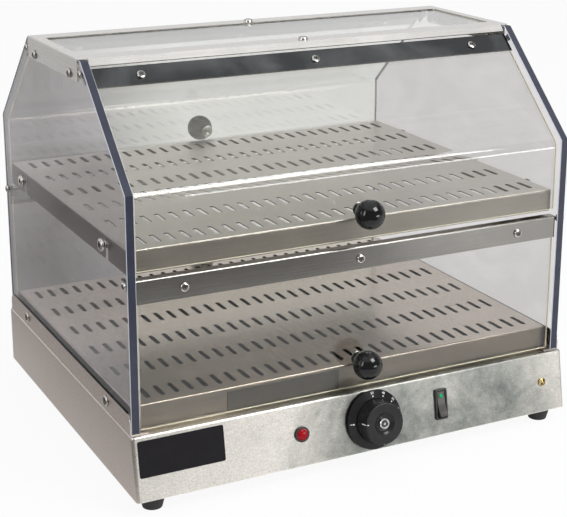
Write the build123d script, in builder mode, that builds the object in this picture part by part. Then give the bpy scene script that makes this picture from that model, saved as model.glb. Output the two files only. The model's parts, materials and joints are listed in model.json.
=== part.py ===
from build123d import *

import os
from math import atan2, cos, degrees, radians, sin, tan

os.makedirs("parts", exist_ok=True)

# All lengths are in millimetres.
# The frame is Z up, X to the right seen from the front, front towards -Y.
# The origin is the centre of the footprint at the level of the feet.

# Folded steel base
base_width = 500.0
base_depth = 400.0
base_height = 63.0
front_rake = 11.0
sheet = 1.0
corner_bend = 3.5
edge_bend = 2.0
return_width = 14.0
plate_gap = 0.5

# Bottom plate and feet
foot_height = 15.0
foot_top_diameter = 27.0
foot_tip_diameter = 20.0
foot_side_inset = 22.0
foot_front_inset = 18.0
foot_rear_inset = 21.0
foot_recess_diameter = 11.0
foot_recess_depth = 6.0
bottom_screw_inset = 100.0
vent_length = 60.0
vent_width = 4.0
vent_pitch = 12.0
vent_rows = 9

# Screws and nuts
screw_diameter = 4.0
screw_fit = 0.1
head_diameter = 9.0
head_height = 2.6
head_round = 1.6
nut_corners = 8.0
nut_height = 3.2
thread_spare = 1.0

# Rails that hold the side panes on the deck
rail_setback = 1.0
rail_height = 21.0
rail_foot_width = 18.0
rail_end_round = 12.0
rail_screw_inset = 65.0
rail_screw_rise = 11.0

# Side panes
pane_thickness = 9.0
pane_edge_inset = 5.0
pane_height = 339.0
pane_kink_height = 234.0
pane_top_depth = 168.0
pane_corner = 4.0

# Top cover and its glass
cover_flange_drop = 21.0
cover_flange_inset = 5.0
cover_flange_round = 4.0
cover_side_rim = 2.0
cover_end_rim = 28.0
cover_window_corner = 4.0
cover_screw_inset = 28.0
cover_screw_drop = 15.5
lip_setback = 3.0
lip_drop = 4.3
lip_end_gap = 1.0
top_glass_thickness = 4.0
top_glass_side_gap = 0.8
top_glass_lap = 18.0
glass_screw_inset = 18.0
dome_diameter = 11.0
dome_height = 3.2

# Leaves that hang on the pivot screws
pivot_diameter = 3.5
pivot_fit = 0.05
pivot_head_diameter = 8.0
leaf_reach = 3.0
leaf_rise = 4.0
leaf_height = 23.5
leaf_flange = 10.0
leaf_end_gap = 0.8
leaf_gap = 1.2
leaf_bend = 1.5
slope_setback = 5.0
upright_setback = 3.0
shelf_leaf_gap = 4.0
tab_height = 12.0
leaf_screw_inset = 46.9
leaf_screw_drop = 12.5

# Clear flap panes
flap_thickness = 4.0
flap_end_gap = 1.3
flap_top_gap = 3.0
flap_bend = 14.0
flap_setback = 5.0
flap_split = 7.5
flap_floor_gap = 2.0

# Ball knobs
knob_diameter = 30.0
knob_stand = 19.0
knob_collar_diameter = 14.0
knob_collar_length = 8.0
knob_rise = 30.0
knob_screw_diameter = 5.0
knob_screw_grip = 14.0
knob_screw_head = 1.5
knob_washer_diameter = 14.0
knob_washer_thickness = 0.9

# Shelf and tray
tray_side_gap = 1.5
tray_end_inset = 12.0
tray_height = 24.0
tray_bend = 2.0
slot_length = 25.0
slot_width = 5.0
slot_pitch_x = 15.2
slot_pitch_y = 63.0
slot_side_margin = 17.0
slot_end_margin = 25.5
shelf_rise = 180.0
seat_gap = 0.1
notch_fit = 0.3
front_plate_width = 124.0
front_plate_height = 20.0
front_plate_inset = 94.0

# Studs that carry the shelf
stud_inset = 65.0
stud_drop = 8.5
stud_diameter = 5.0
stud_head_diameter = 10.0
stud_head_height = 3.0
stud_boss_diameter = 8.0
stud_boss_length = 8.0
stud_lip_diameter = 11.0
stud_lip_length = 1.5

# Heat pan in the deck window
pan_front_room = 59.0
pan_rear_room = 35.0
pan_rail_gap = 3.0
window_corner = 10.0
pan_gap = 1.0
pan_rim = 14.0
pan_depth = 36.0
pan_screw_inset = 6.0
pan_screw_end_inset = 43.0

# Heating element and its supports
heater_diameter = 8.0
heater_side_gap = 64.0
heater_lift = 16.0
heater_turn = 40.0
heater_rear_gap = 39.0
heater_front_gap = 45.0
heater_tail = 22.0
heater_fit = 0.1
heater_hole_fit = 0.3
bushing_diameter = 18.0
bushing_length = 5.0
pin_diameter = 4.0
pin_length = 9.0
support_overhang = 25.0
support_foot = 10.0
support_inset = 45.0

# Thermostat probe
probe_bulb_diameter = 6.0
probe_bulb_length = 70.0
probe_bulb_gap = 22.0
probe_tube_diameter = 2.4
probe_bend = 6.0
probe_run = 9.0
probe_lead = 20.0
probe_hole_fit = 0.3
clip_width = 14.0
clip_pitch = 40.0

# Controls on the raked panel
control_rise = 1.0
dial_x = 10.0
dial_diameter = 62.0
dial_skirt_edge = 2.2
dial_skirt_height = 5.0
dial_bevel = 4.0
dial_boss_foot_diameter = 46.0
dial_boss_top_diameter = 43.0
dial_height = 24.0
dial_round = 1.2
dial_dish_diameter = 19.0
dial_dish_depth = 1.6
dial_gap = 2.0
dial_recess_diameter = 42.0
dial_recess_depth = 2.5
dial_cap_diameter = 11.0
dial_cap_height = 1.4
shaft_diameter = 6.0
shaft_fit = 0.05
shaft_inside = 13.5
shaft_bore_depth = 14.0
shaft_outside = 18.0
thermostat_width = 44.0
thermostat_height = 38.0
thermostat_depth = 32.0
thermostat_bush_diameter = 9.8
thermostat_bush_length = 1.6
thermostat_screw_pitch = 28.0
thermostat_screw_grip = 8.0
panel_hole_fit = 0.2

# Rocker switch
switch_x = 92.0
bezel_width = 15.0
bezel_height = 33.0
bezel_stand = 2.4
bezel_corner = 2.0
switch_body_width = 12.6
switch_body_height = 29.6
switch_body_depth = 24.0
rocker_width = 10.2
rocker_length = 26.0
rocker_end_height = 4.2
rocker_mid_height = 2.4
rocker_depth = 4.5
rocker_tilt = 11.0
rocker_gap = 0.4
rocker_well_length = 28.6
rocker_well_depth = 10.5
rocker_pin_diameter = 3.0
rocker_pin_length = 1.0
switch_lens_diameter = 4.4
switch_lens_seat = 1.2
switch_lens_stand = 0.5

# Pilot lamp
lamp_x = -72.0
lamp_flange_diameter = 16.0
lamp_flange_height = 2.2
lamp_body_diameter = 12.0
lamp_body_depth = 26.0
lamp_nut_diameter = 17.0
lamp_lens_diameter = 12.0
lamp_lens_seat = 1.4
lamp_lens_stand = 2.6
lens_fit = 0.1

# Earth screw and label plate
earth_inset = 28.0
label_inset = 5.0
label_rise = 9.6
label_width = 89.0
label_height = 36.0
label_thickness = 0.4
label_corner = 2.0

# Supply entry on the rear wall
gland_inset = 50.0
gland_rise = 30.0
gland_thread_diameter = 19.8
gland_thread_length = 12.0
gland_hex_corners = 28.0
gland_hex_length = 6.0
gland_cap_diameter = 23.0
gland_cap_length = 18.0
gland_nose_diameter = 16.0
gland_nose_length = 8.0
gland_bore_diameter = 8.0
gland_nut_thickness = 5.0
gland_fit = 0.1
block_gland_gap = 60.0
block_pan_gap = 2.0
block_width = 44.0
block_depth = 18.0
block_height = 18.0
block_pitch = 13.0
block_hole = 5.0

# Levels and faces that follow from the sizes above
deck_z = foot_height + base_height
floor_z = foot_height + sheet
foot_span_x = base_width - 2 * foot_side_inset
foot_span_y = base_depth + front_rake - foot_front_inset - foot_rear_inset
foot_shift_y = (foot_front_inset - foot_rear_inset - front_rake) / 2
bottom_screw_span = base_depth - 2 * bottom_screw_inset
pane_depth = base_depth - 2 * pane_edge_inset
rail_screw_span = pane_depth - 2 * rail_screw_inset
stud_span = pane_depth - 2 * stud_inset
rail_outer = base_width / 2 - rail_setback
pane_outer = rail_outer - sheet
pane_inner = pane_outer - pane_thickness
pane_mid = (pane_outer + pane_inner) / 2
pane_foot_z = deck_z + sheet
kink_z = pane_foot_z + pane_kink_height
pane_top_z = pane_foot_z + pane_height
half_pane = pane_depth / 2
half_top = pane_top_depth / 2
cover_flange_length = pane_top_depth - 2 * cover_flange_inset
cover_window_width = 2 * (pane_inner - cover_side_rim)
cover_window_depth = pane_top_depth - 2 * cover_end_rim
cover_screw_span = pane_top_depth - 2 * cover_screw_inset
glass_screw_span = pane_top_depth - 2 * glass_screw_inset
top_glass_width = 2 * (pane_inner - top_glass_side_gap)
top_glass_depth = cover_window_depth + 2 * top_glass_lap
slope = atan2(pane_top_z - kink_z, half_pane - half_top)
rake = atan2(front_rake, base_height)
foot_taper = degrees(atan2((foot_top_diameter - foot_tip_diameter) / 2, foot_height))
rail_screw_z = deck_z + rail_screw_rise
cover_screw_z = pane_top_z - cover_screw_drop
shelf_top_z = deck_z + shelf_rise
stud_z = shelf_top_z - stud_drop
tray_foot_z = pane_foot_z + seat_gap
tray_width = 2 * (pane_inner - tray_side_gap)
tray_depth = pane_depth - 2 * tray_end_inset
slot_columns = int((tray_width - 2 * slot_side_margin) / slot_pitch_x) + 1
slot_rows = int((tray_depth - 2 * slot_end_margin) / slot_pitch_y) + 1
front_plate_x = -tray_width / 2 + front_plate_inset + front_plate_width / 2
pan_width = 2 * (rail_outer - rail_foot_width - pan_rail_gap - pan_rim)
window_width = pan_width + 2 * pan_gap
window_depth = base_depth - pan_front_room - pan_rear_room
window_shift = (pan_front_room - pan_rear_room) / 2
pan_length = window_depth - 2 * pan_gap
pan_corner = window_corner - pan_gap
pan_screw_span = pan_length + 2 * (sheet - pan_screw_end_inset)
pan_floor_z = deck_z - pan_depth + sheet
pan_front_y = window_shift - pan_length / 2
pan_rear_y = window_shift + pan_length / 2
heater_z = pan_floor_z + heater_lift
heater_leg_pitch = (pan_width - 2 * heater_side_gap) / 3
heater_rear_y = pan_rear_y - heater_rear_gap
heater_front_y = pan_front_y + heater_front_gap
support_length = 3 * heater_leg_pitch + 2 * support_overhang
support_pitch = heater_rear_y - heater_front_y - 2 * support_inset
support_shift = (heater_rear_y + heater_front_y) / 2
probe_bulb_y = pan_front_y + probe_bulb_gap
earth_x = base_width / 2 - earth_inset
label_x = label_inset + label_width / 2 - base_width / 2
gland_x = base_width / 2 - gland_inset
block_x = gland_x - block_gland_gap
block_y = pan_rear_y + block_pan_gap + block_depth / 2
screw_hole = screw_diameter / 2 + screw_fit
leaf_end = pane_inner - leaf_end_gap
flap_width = 2 * (leaf_end - flap_end_gap)
leaf_screw_pitch = flap_width / 2 - leaf_screw_inset
nut_radius = nut_corners / 2

# Pivot axes of the flaps, as distances from the middle of the case and heights
upper_pivot_u = lip_drop + leaf_gap + leaf_rise
upper_pivot_n = slope_setback + leaf_reach
upper_pivot_y = half_top + upper_pivot_u * cos(slope) - upper_pivot_n * sin(slope)
upper_pivot_z = pane_top_z - upper_pivot_u * sin(slope) - upper_pivot_n * cos(slope)
lower_pivot_y = half_pane - upright_setback - leaf_reach
lower_pivot_z = shelf_top_z - tray_height - shelf_leaf_gap - leaf_rise
upper_flap_y = half_pane - flap_setback - flap_thickness / 2
upper_flap_kink_z = upper_pivot_z - (upper_flap_y - upper_pivot_y) * tan(slope)
upper_flap_foot_z = lower_pivot_z + leaf_rise + flap_split
lower_flap_foot_z = deck_z + flap_floor_gap

# Plane of the raked control panel, with its normal pointing out of the case
panel = Plane(
    origin=(0, -(base_depth + front_rake) / 2, foot_height + base_height / 2),
    x_dir=(1, 0, 0),
    z_dir=(0, -cos(rake), sin(rake)),
)

# Base casing
with BuildPart() as base_casing:
    with BuildSketch(Plane.YZ):
        with BuildLine():
            Polyline(
                (-base_depth / 2 - front_rake, foot_height),
                (base_depth / 2, foot_height),
                (base_depth / 2, deck_z),
                (-base_depth / 2, deck_z),
                close=True,
            )
        make_face()
    extrude(amount=base_width / 2, both=True)
    upright_edges = base_casing.edges().filter_by(Axis.X, reverse=True).filter_by(Axis.Y, reverse=True)
    fillet(upright_edges, corner_bend)
    offset(amount=-sheet, openings=base_casing.faces().sort_by(Axis.Z)[0])
    fillet(base_casing.faces().sort_by(Axis.Z)[-1].edges(), edge_bend)
    with BuildSketch(Plane.XY.offset(floor_z)):
        with Locations((0, -front_rake / 2)):
            RectangleRounded(base_width - sheet, base_depth + front_rake - 1.5 * sheet, corner_bend)
            RectangleRounded(
                base_width - 2 * return_width,
                base_depth + front_rake - 2 * return_width,
                corner_bend,
                mode=Mode.SUBTRACT,
            )
    extrude(amount=sheet)
    with BuildSketch(Plane.XY.offset(floor_z)):
        with GridLocations(base_width - return_width, bottom_screw_span, 2, 2):
            Circle(screw_hole)
    extrude(amount=sheet, mode=Mode.SUBTRACT)
    with BuildSketch(Plane.XY.offset(deck_z)):
        with Locations((0, window_shift)):
            RectangleRounded(window_width, window_depth, window_corner)
            with GridLocations(
                window_width + 2 * (pan_rim - pan_gap - pan_screw_inset), pan_screw_span, 2, 2
            ):
                Circle(screw_hole)
    extrude(amount=-2 * sheet, mode=Mode.SUBTRACT)
    with BuildSketch(panel):
        with Locations((dial_x, control_rise)):
            Circle(thermostat_bush_diameter / 2 + panel_hole_fit)
            with GridLocations(thermostat_screw_pitch, 0, 2, 1):
                Circle(screw_hole)
        with Locations((lamp_x, control_rise)):
            Circle(lamp_body_diameter / 2 + panel_hole_fit)
        with Locations((switch_x, control_rise)):
            Rectangle(switch_body_width + 2 * panel_hole_fit, switch_body_height + 2 * panel_hole_fit)
        with Locations((earth_x, control_rise)):
            Circle(screw_hole)
    extrude(amount=2 * sheet, both=True, mode=Mode.SUBTRACT)
    with BuildSketch(Plane.XZ.offset(-base_depth / 2)):
        with Locations((gland_x, foot_height + gland_rise)):
            Circle(gland_thread_diameter / 2 + gland_fit)
    extrude(amount=2 * sheet, both=True, mode=Mode.SUBTRACT)
base_casing.part.label = "base_casing"
export_step(base_casing.part, "parts/base_casing.step")

# Bottom plate, inside the walls and under the returns
with BuildPart() as bottom_plate:
    with BuildSketch(Plane.XY.offset(foot_height)):
        with Locations((0, -front_rake / 2)):
            RectangleRounded(
                base_width - 2 * (sheet + plate_gap),
                base_depth + front_rake - 2 * (sheet + plate_gap),
                corner_bend,
            )
        with GridLocations(0, vent_pitch, 1, vent_rows):
            SlotOverall(vent_length, vent_width, mode=Mode.SUBTRACT)
        with GridLocations(base_width - return_width, bottom_screw_span, 2, 2):
            Circle(screw_hole, mode=Mode.SUBTRACT)
        with Locations((0, foot_shift_y)):
            with GridLocations(foot_span_x, foot_span_y, 2, 2):
                Circle(screw_hole, mode=Mode.SUBTRACT)
    extrude(amount=sheet)
bottom_plate.part.label = "bottom_plate"
export_step(bottom_plate.part, "parts/bottom_plate.step")

# Screws from below through the bottom plate into the returns
with BuildPart() as bottom_screws:
    with BuildSketch(Plane.XY.offset(foot_height)):
        with GridLocations(base_width - return_width, bottom_screw_span, 2, 2):
            Circle(head_diameter / 2)
    extrude(amount=-head_height)
    fillet(bottom_screws.faces().filter_by(Axis.Z).group_by(Axis.Z)[0].edges(), head_round)
    with BuildSketch(Plane.XY.offset(foot_height)):
        with GridLocations(base_width - return_width, bottom_screw_span, 2, 2):
            Circle(screw_diameter / 2)
    extrude(amount=2 * sheet + nut_height)
bottom_screws.part.label = "bottom_screws"
export_step(bottom_screws.part, "parts/bottom_screws.step")

# Rubber feet, tapering towards the table
with BuildPart() as rubber_feet:
    with BuildSketch(Plane.XY):
        with Locations((0, foot_shift_y)):
            with GridLocations(foot_span_x, foot_span_y, 2, 2):
                Circle(foot_tip_diameter / 2)
    extrude(amount=foot_height, taper=-foot_taper)
    with BuildSketch(Plane.XY):
        with Locations((0, foot_shift_y)):
            with GridLocations(foot_span_x, foot_span_y, 2, 2):
                Circle(foot_recess_diameter / 2)
    extrude(amount=foot_recess_depth, mode=Mode.SUBTRACT)
    with BuildSketch(Plane.XY):
        with Locations((0, foot_shift_y)):
            with GridLocations(foot_span_x, foot_span_y, 2, 2):
                Circle(screw_hole)
    extrude(amount=foot_height, mode=Mode.SUBTRACT)
rubber_feet.part.label = "rubber_feet"
export_step(rubber_feet.part, "parts/rubber_feet.step")

# Foot screws, each with its nut on the bottom plate
with BuildPart() as foot_screws:
    with BuildSketch(Plane.XY.offset(foot_recess_depth)):
        with Locations((0, foot_shift_y)):
            with GridLocations(foot_span_x, foot_span_y, 2, 2):
                Circle(head_diameter / 2)
    extrude(amount=-head_height)
    with BuildSketch(Plane.XY.offset(foot_recess_depth)):
        with Locations((0, foot_shift_y)):
            with GridLocations(foot_span_x, foot_span_y, 2, 2):
                Circle(screw_diameter / 2)
    extrude(amount=floor_z - foot_recess_depth + nut_height + thread_spare)
    with BuildSketch(Plane.XY.offset(floor_z)):
        with Locations((0, foot_shift_y)):
            with GridLocations(foot_span_x, foot_span_y, 2, 2):
                RegularPolygon(nut_radius, 6)
    extrude(amount=nut_height)
foot_screws.part.label = "foot_screws"
export_step(foot_screws.part, "parts/foot_screws.step")

# Pieces that come once for each side
for side_name, side in (("left", -1), ("right", 1)):
    # Rail: an upright strip outside the pane and a foot under it
    with BuildPart() as pane_rail:
        with BuildSketch(Plane.XZ):
            with BuildLine():
                Polyline(
                    (side * rail_outer, deck_z),
                    (side * rail_outer, deck_z + rail_height),
                    (side * pane_outer, deck_z + rail_height),
                    (side * pane_outer, pane_foot_z),
                    (side * (rail_outer - rail_foot_width), pane_foot_z),
                    (side * (rail_outer - rail_foot_width), deck_z),
                    close=True,
                )
            make_face()
        extrude(amount=half_pane, both=True)
        fillet(pane_rail.edges().filter_by(Axis.X).group_by(Axis.Z)[-1], rail_end_round)
        with BuildSketch(Plane.YZ.offset(side * pane_outer)):
            with Locations((0, rail_screw_z)):
                with GridLocations(rail_screw_span, 0, 2, 1):
                    Circle(screw_hole)
        extrude(amount=2 * sheet, both=True, mode=Mode.SUBTRACT)
    pane_rail.part.label = f"pane_rail_{side_name}"
    export_step(pane_rail.part, f"parts/pane_rail_{side_name}.step")

    # Side pane: upright lower half, sloping upper half
    with BuildPart() as side_pane:
        with BuildSketch(Plane.YZ.offset(side * pane_mid)) as side_sketch:
            with BuildLine():
                Polyline(
                    (-half_pane, pane_foot_z),
                    (half_pane, pane_foot_z),
                    (half_pane, kink_z),
                    (half_top, pane_top_z),
                    (-half_top, pane_top_z),
                    (-half_pane, kink_z),
                    close=True,
                )
            make_face()
            fillet(side_sketch.vertices().group_by(Axis.Y)[-1], pane_corner)
            with Locations((0, rail_screw_z)):
                with GridLocations(rail_screw_span, 0, 2, 1):
                    Circle(screw_hole, mode=Mode.SUBTRACT)
            with Locations((0, cover_screw_z)):
                with GridLocations(cover_screw_span, 0, 2, 1):
                    Circle(screw_hole, mode=Mode.SUBTRACT)
            with Locations((0, stud_z)):
                with GridLocations(stud_span, 0, 2, 1):
                    Circle(stud_diameter / 2 + screw_fit, mode=Mode.SUBTRACT)
            with Locations((0, upper_pivot_z)):
                with GridLocations(2 * upper_pivot_y, 0, 2, 1):
                    Circle(pivot_diameter / 2 + screw_fit, mode=Mode.SUBTRACT)
            with Locations((0, lower_pivot_z)):
                with GridLocations(2 * lower_pivot_y, 0, 2, 1):
                    Circle(pivot_diameter / 2 + screw_fit, mode=Mode.SUBTRACT)
        extrude(amount=pane_thickness / 2, both=True)
    side_pane.part.label = f"side_pane_{side_name}"
    export_step(side_pane.part, f"parts/side_pane_{side_name}.step")

# Pivot screws of the flaps, at both sides
with BuildPart() as pivot_screws:
    for side in (-1, 1):
        with BuildSketch(Plane.YZ.offset(side * pane_outer)):
            with Locations((0, upper_pivot_z)):
                with GridLocations(2 * upper_pivot_y, 0, 2, 1):
                    Circle(pivot_head_diameter / 2)
            with Locations((0, lower_pivot_z)):
                with GridLocations(2 * lower_pivot_y, 0, 2, 1):
                    Circle(pivot_head_diameter / 2)
        extrude(amount=side * head_height)
    head_faces = pivot_screws.faces().group_by(Axis.X)
    fillet((head_faces[0] + head_faces[-1]).edges(), head_round)
    for side in (-1, 1):
        with BuildSketch(Plane.YZ.offset(side * pane_outer)):
            with Locations((0, upper_pivot_z)):
                with GridLocations(2 * upper_pivot_y, 0, 2, 1):
                    Circle(pivot_diameter / 2)
            with Locations((0, lower_pivot_z)):
                with GridLocations(2 * lower_pivot_y, 0, 2, 1):
                    Circle(pivot_diameter / 2)
        extrude(amount=-side * (pane_thickness + leaf_end_gap + sheet + thread_spare))
pivot_screws.part.label = "pivot_screws"
export_step(pivot_screws.part, "parts/pivot_screws.step")

# Rail screws, threaded into the panes
with BuildPart() as rail_screws:
    for side in (-1, 1):
        with BuildSketch(Plane.YZ.offset(side * rail_outer)):
            with Locations((0, rail_screw_z)):
                with GridLocations(rail_screw_span, 0, 2, 1):
                    Circle(head_diameter / 2)
        extrude(amount=side * head_height)
    head_faces = rail_screws.faces().group_by(Axis.X)
    fillet((head_faces[0] + head_faces[-1]).edges(), head_round)
    for side in (-1, 1):
        with BuildSketch(Plane.YZ.offset(side * rail_outer)):
            with Locations((0, rail_screw_z)):
                with GridLocations(rail_screw_span, 0, 2, 1):
                    Circle(screw_diameter / 2)
        extrude(amount=-side * (pane_thickness - thread_spare))
rail_screws.part.label = "rail_screws"
export_step(rail_screws.part, "parts/rail_screws.step")

# Cover screws through flanges and panes, with nuts inside
with BuildPart() as cover_screws:
    for side in (-1, 1):
        with BuildSketch(Plane.YZ.offset(side * rail_outer)):
            with Locations((0, cover_screw_z)):
                with GridLocations(cover_screw_span, 0, 2, 1):
                    Circle(head_diameter / 2)
        extrude(amount=side * head_height)
    head_faces = cover_screws.faces().group_by(Axis.X)
    fillet((head_faces[0] + head_faces[-1]).edges(), head_round)
    for side in (-1, 1):
        with BuildSketch(Plane.YZ.offset(side * rail_outer)):
            with Locations((0, cover_screw_z)):
                with GridLocations(cover_screw_span, 0, 2, 1):
                    Circle(screw_diameter / 2)
        extrude(amount=-side * (sheet + pane_thickness + nut_height + thread_spare))
        with BuildSketch(Plane.YZ.offset(side * pane_inner)):
            with Locations((0, cover_screw_z)):
                with GridLocations(cover_screw_span, 0, 2, 1):
                    RegularPolygon(nut_radius, 6)
        extrude(amount=-side * nut_height)
cover_screws.part.label = "cover_screws"
export_step(cover_screws.part, "parts/cover_screws.step")

# Shelf studs: head outside, boss with a lip inside
with BuildPart() as shelf_studs:
    for side in (-1, 1):
        with BuildSketch(Plane.YZ.offset(side * pane_outer)):
            with Locations((0, stud_z)):
                with GridLocations(stud_span, 0, 2, 1):
                    Circle(stud_head_diameter / 2)
        extrude(amount=side * stud_head_height)
    head_faces = shelf_studs.faces().group_by(Axis.X)
    fillet((head_faces[0] + head_faces[-1]).edges(), head_round)
    for side in (-1, 1):
        with BuildSketch(Plane.YZ.offset(side * pane_outer)):
            with Locations((0, stud_z)):
                with GridLocations(stud_span, 0, 2, 1):
                    Circle(stud_diameter / 2)
        extrude(amount=-side * pane_thickness)
        with BuildSketch(Plane.YZ.offset(side * pane_inner)):
            with Locations((0, stud_z)):
                with GridLocations(stud_span, 0, 2, 1):
                    Circle(stud_boss_diameter / 2)
        extrude(amount=-side * stud_boss_length)
        with BuildSketch(Plane.YZ.offset(side * (pane_inner - stud_boss_length))):
            with Locations((0, stud_z)):
                with GridLocations(stud_span, 0, 2, 1):
                    Circle(stud_lip_diameter / 2)
        extrude(amount=-side * stud_lip_length)
shelf_studs.part.label = "shelf_studs"
export_step(shelf_studs.part, "parts/shelf_studs.step")

# Top cover: plate on the panes, flanges outside them, sloping lips between them
lip_top_u = -(sheet + lip_setback * cos(slope)) / sin(slope)
lip_top_y = half_top + lip_top_u * cos(slope) - lip_setback * sin(slope)
with BuildPart() as top_cover:
    with BuildSketch(Plane.XY.offset(pane_top_z)):
        Rectangle(2 * rail_outer, 2 * lip_top_y)
        with GridLocations(2 * pane_mid + sheet, 0, 2, 1):
            Rectangle(pane_thickness + sheet, cover_flange_length)
    extrude(amount=sheet)
    for side in (-1, 1):
        with BuildSketch(Plane.YZ.offset(side * pane_outer)) as flange_sketch:
            with Locations((0, pane_top_z + sheet)):
                Rectangle(cover_flange_length, cover_flange_drop + sheet, align=(Align.CENTER, Align.MAX))
            fillet(flange_sketch.vertices().group_by(Axis.Y)[0], cover_flange_round)
        extrude(amount=side * sheet)
        lip_plane = Plane(
            origin=(0, side * half_top, pane_top_z),
            x_dir=(0, side * sin(slope), cos(slope)),
            z_dir=(side, 0, 0),
        )
        with BuildSketch(lip_plane):
            with Locations((-lip_setback, -lip_drop)):
                Rectangle(sheet, lip_drop - lip_top_u, align=(Align.MAX, Align.MIN))
        extrude(amount=pane_inner - lip_end_gap, both=True)
    with BuildSketch(Plane.XY.offset(pane_top_z)):
        RectangleRounded(cover_window_width, cover_window_depth, cover_window_corner)
        with GridLocations(0, glass_screw_span, 1, 2):
            Circle(screw_hole)
    extrude(amount=sheet, mode=Mode.SUBTRACT)
    with BuildSketch(Plane.YZ):
        with Locations((0, cover_screw_z)):
            with GridLocations(cover_screw_span, 0, 2, 1):
                Circle(screw_hole)
    extrude(amount=base_width, both=True, mode=Mode.SUBTRACT)
    outer_bends = top_cover.edges().filter_by(Axis.Y).group_by(Axis.Z)[-1].group_by(SortBy.LENGTH)[-1]
    fillet(outer_bends, edge_bend / 2)
top_cover.part.label = "top_cover"
export_step(top_cover.part, "parts/top_cover.step")

# Clear sheet under the cover's window
with BuildPart() as top_glass:
    with BuildSketch(Plane.XY.offset(pane_top_z)):
        Rectangle(top_glass_width, top_glass_depth)
        with GridLocations(0, glass_screw_span, 1, 2):
            Circle(screw_hole, mode=Mode.SUBTRACT)
    extrude(amount=-top_glass_thickness)
top_glass.part.label = "top_glass"
export_step(top_glass.part, "parts/top_glass.step")

# Dome screws through cover and glass, with nuts under the glass
with BuildPart() as glass_screws:
    with BuildSketch(Plane.XY.offset(pane_top_z + sheet)):
        with GridLocations(0, glass_screw_span, 1, 2):
            Circle(dome_diameter / 2)
    extrude(amount=dome_height)
    fillet(glass_screws.faces().group_by(Axis.Z)[-1].edges(), dome_height - screw_fit)
    with BuildSketch(Plane.XY.offset(pane_top_z + sheet)):
        with GridLocations(0, glass_screw_span, 1, 2):
            Circle(screw_diameter / 2)
    extrude(amount=-(sheet + top_glass_thickness + nut_height + thread_spare))
    with BuildSketch(Plane.XY.offset(pane_top_z - top_glass_thickness)):
        with GridLocations(0, glass_screw_span, 1, 2):
            RegularPolygon(nut_radius, 6)
    extrude(amount=-nut_height)
glass_screws.part.label = "glass_screws"
export_step(glass_screws.part, "parts/glass_screws.step")

# Shelf on the studs and tray on the rails' feet, both folded and slotted alike
for tray_name, tray_top_z in (("upper_shelf", shelf_top_z), ("lower_tray", tray_foot_z + tray_height)):
    with BuildPart() as tray:
        with BuildSketch(Plane.XY.offset(tray_top_z - tray_height)):
            Rectangle(tray_width, tray_depth)
        extrude(amount=tray_height)
        fillet(tray.edges().filter_by(Axis.Z), tray_bend)
        fillet(tray.faces().sort_by(Axis.Z)[-1].edges(), tray_bend)
        offset(amount=-sheet, openings=tray.faces().sort_by(Axis.Z)[0])
        with BuildSketch(Plane.XY.offset(tray_top_z)):
            with GridLocations(slot_pitch_x, slot_pitch_y, slot_columns, slot_rows):
                SlotOverall(slot_length, slot_width, rotation=90)
        extrude(amount=-2 * sheet, mode=Mode.SUBTRACT)
        with BuildSketch(Plane.YZ):
            with Locations((0, tray_top_z - stud_drop)):
                with GridLocations(stud_span, 0, 2, 1):
                    Circle(stud_boss_diameter / 2 + notch_fit)
                    Rectangle(
                        stud_boss_diameter + 2 * notch_fit, tray_height, align=(Align.CENTER, Align.MAX)
                    )
        extrude(amount=tray_width, both=True, mode=Mode.SUBTRACT)
    tray.part.label = tray_name
    export_step(tray.part, f"parts/{tray_name}.step")

# Plate on the front flange of the lower tray
with BuildPart() as tray_front_plate:
    with BuildSketch(Plane.XZ.offset(tray_depth / 2)):
        with Locations((front_plate_x, tray_foot_z)):
            Rectangle(front_plate_width, front_plate_height, align=(Align.CENTER, Align.MIN))
    extrude(amount=sheet)
tray_front_plate.part.label = "tray_front_plate"
export_step(tray_front_plate.part, "parts/tray_front_plate.step")

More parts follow.
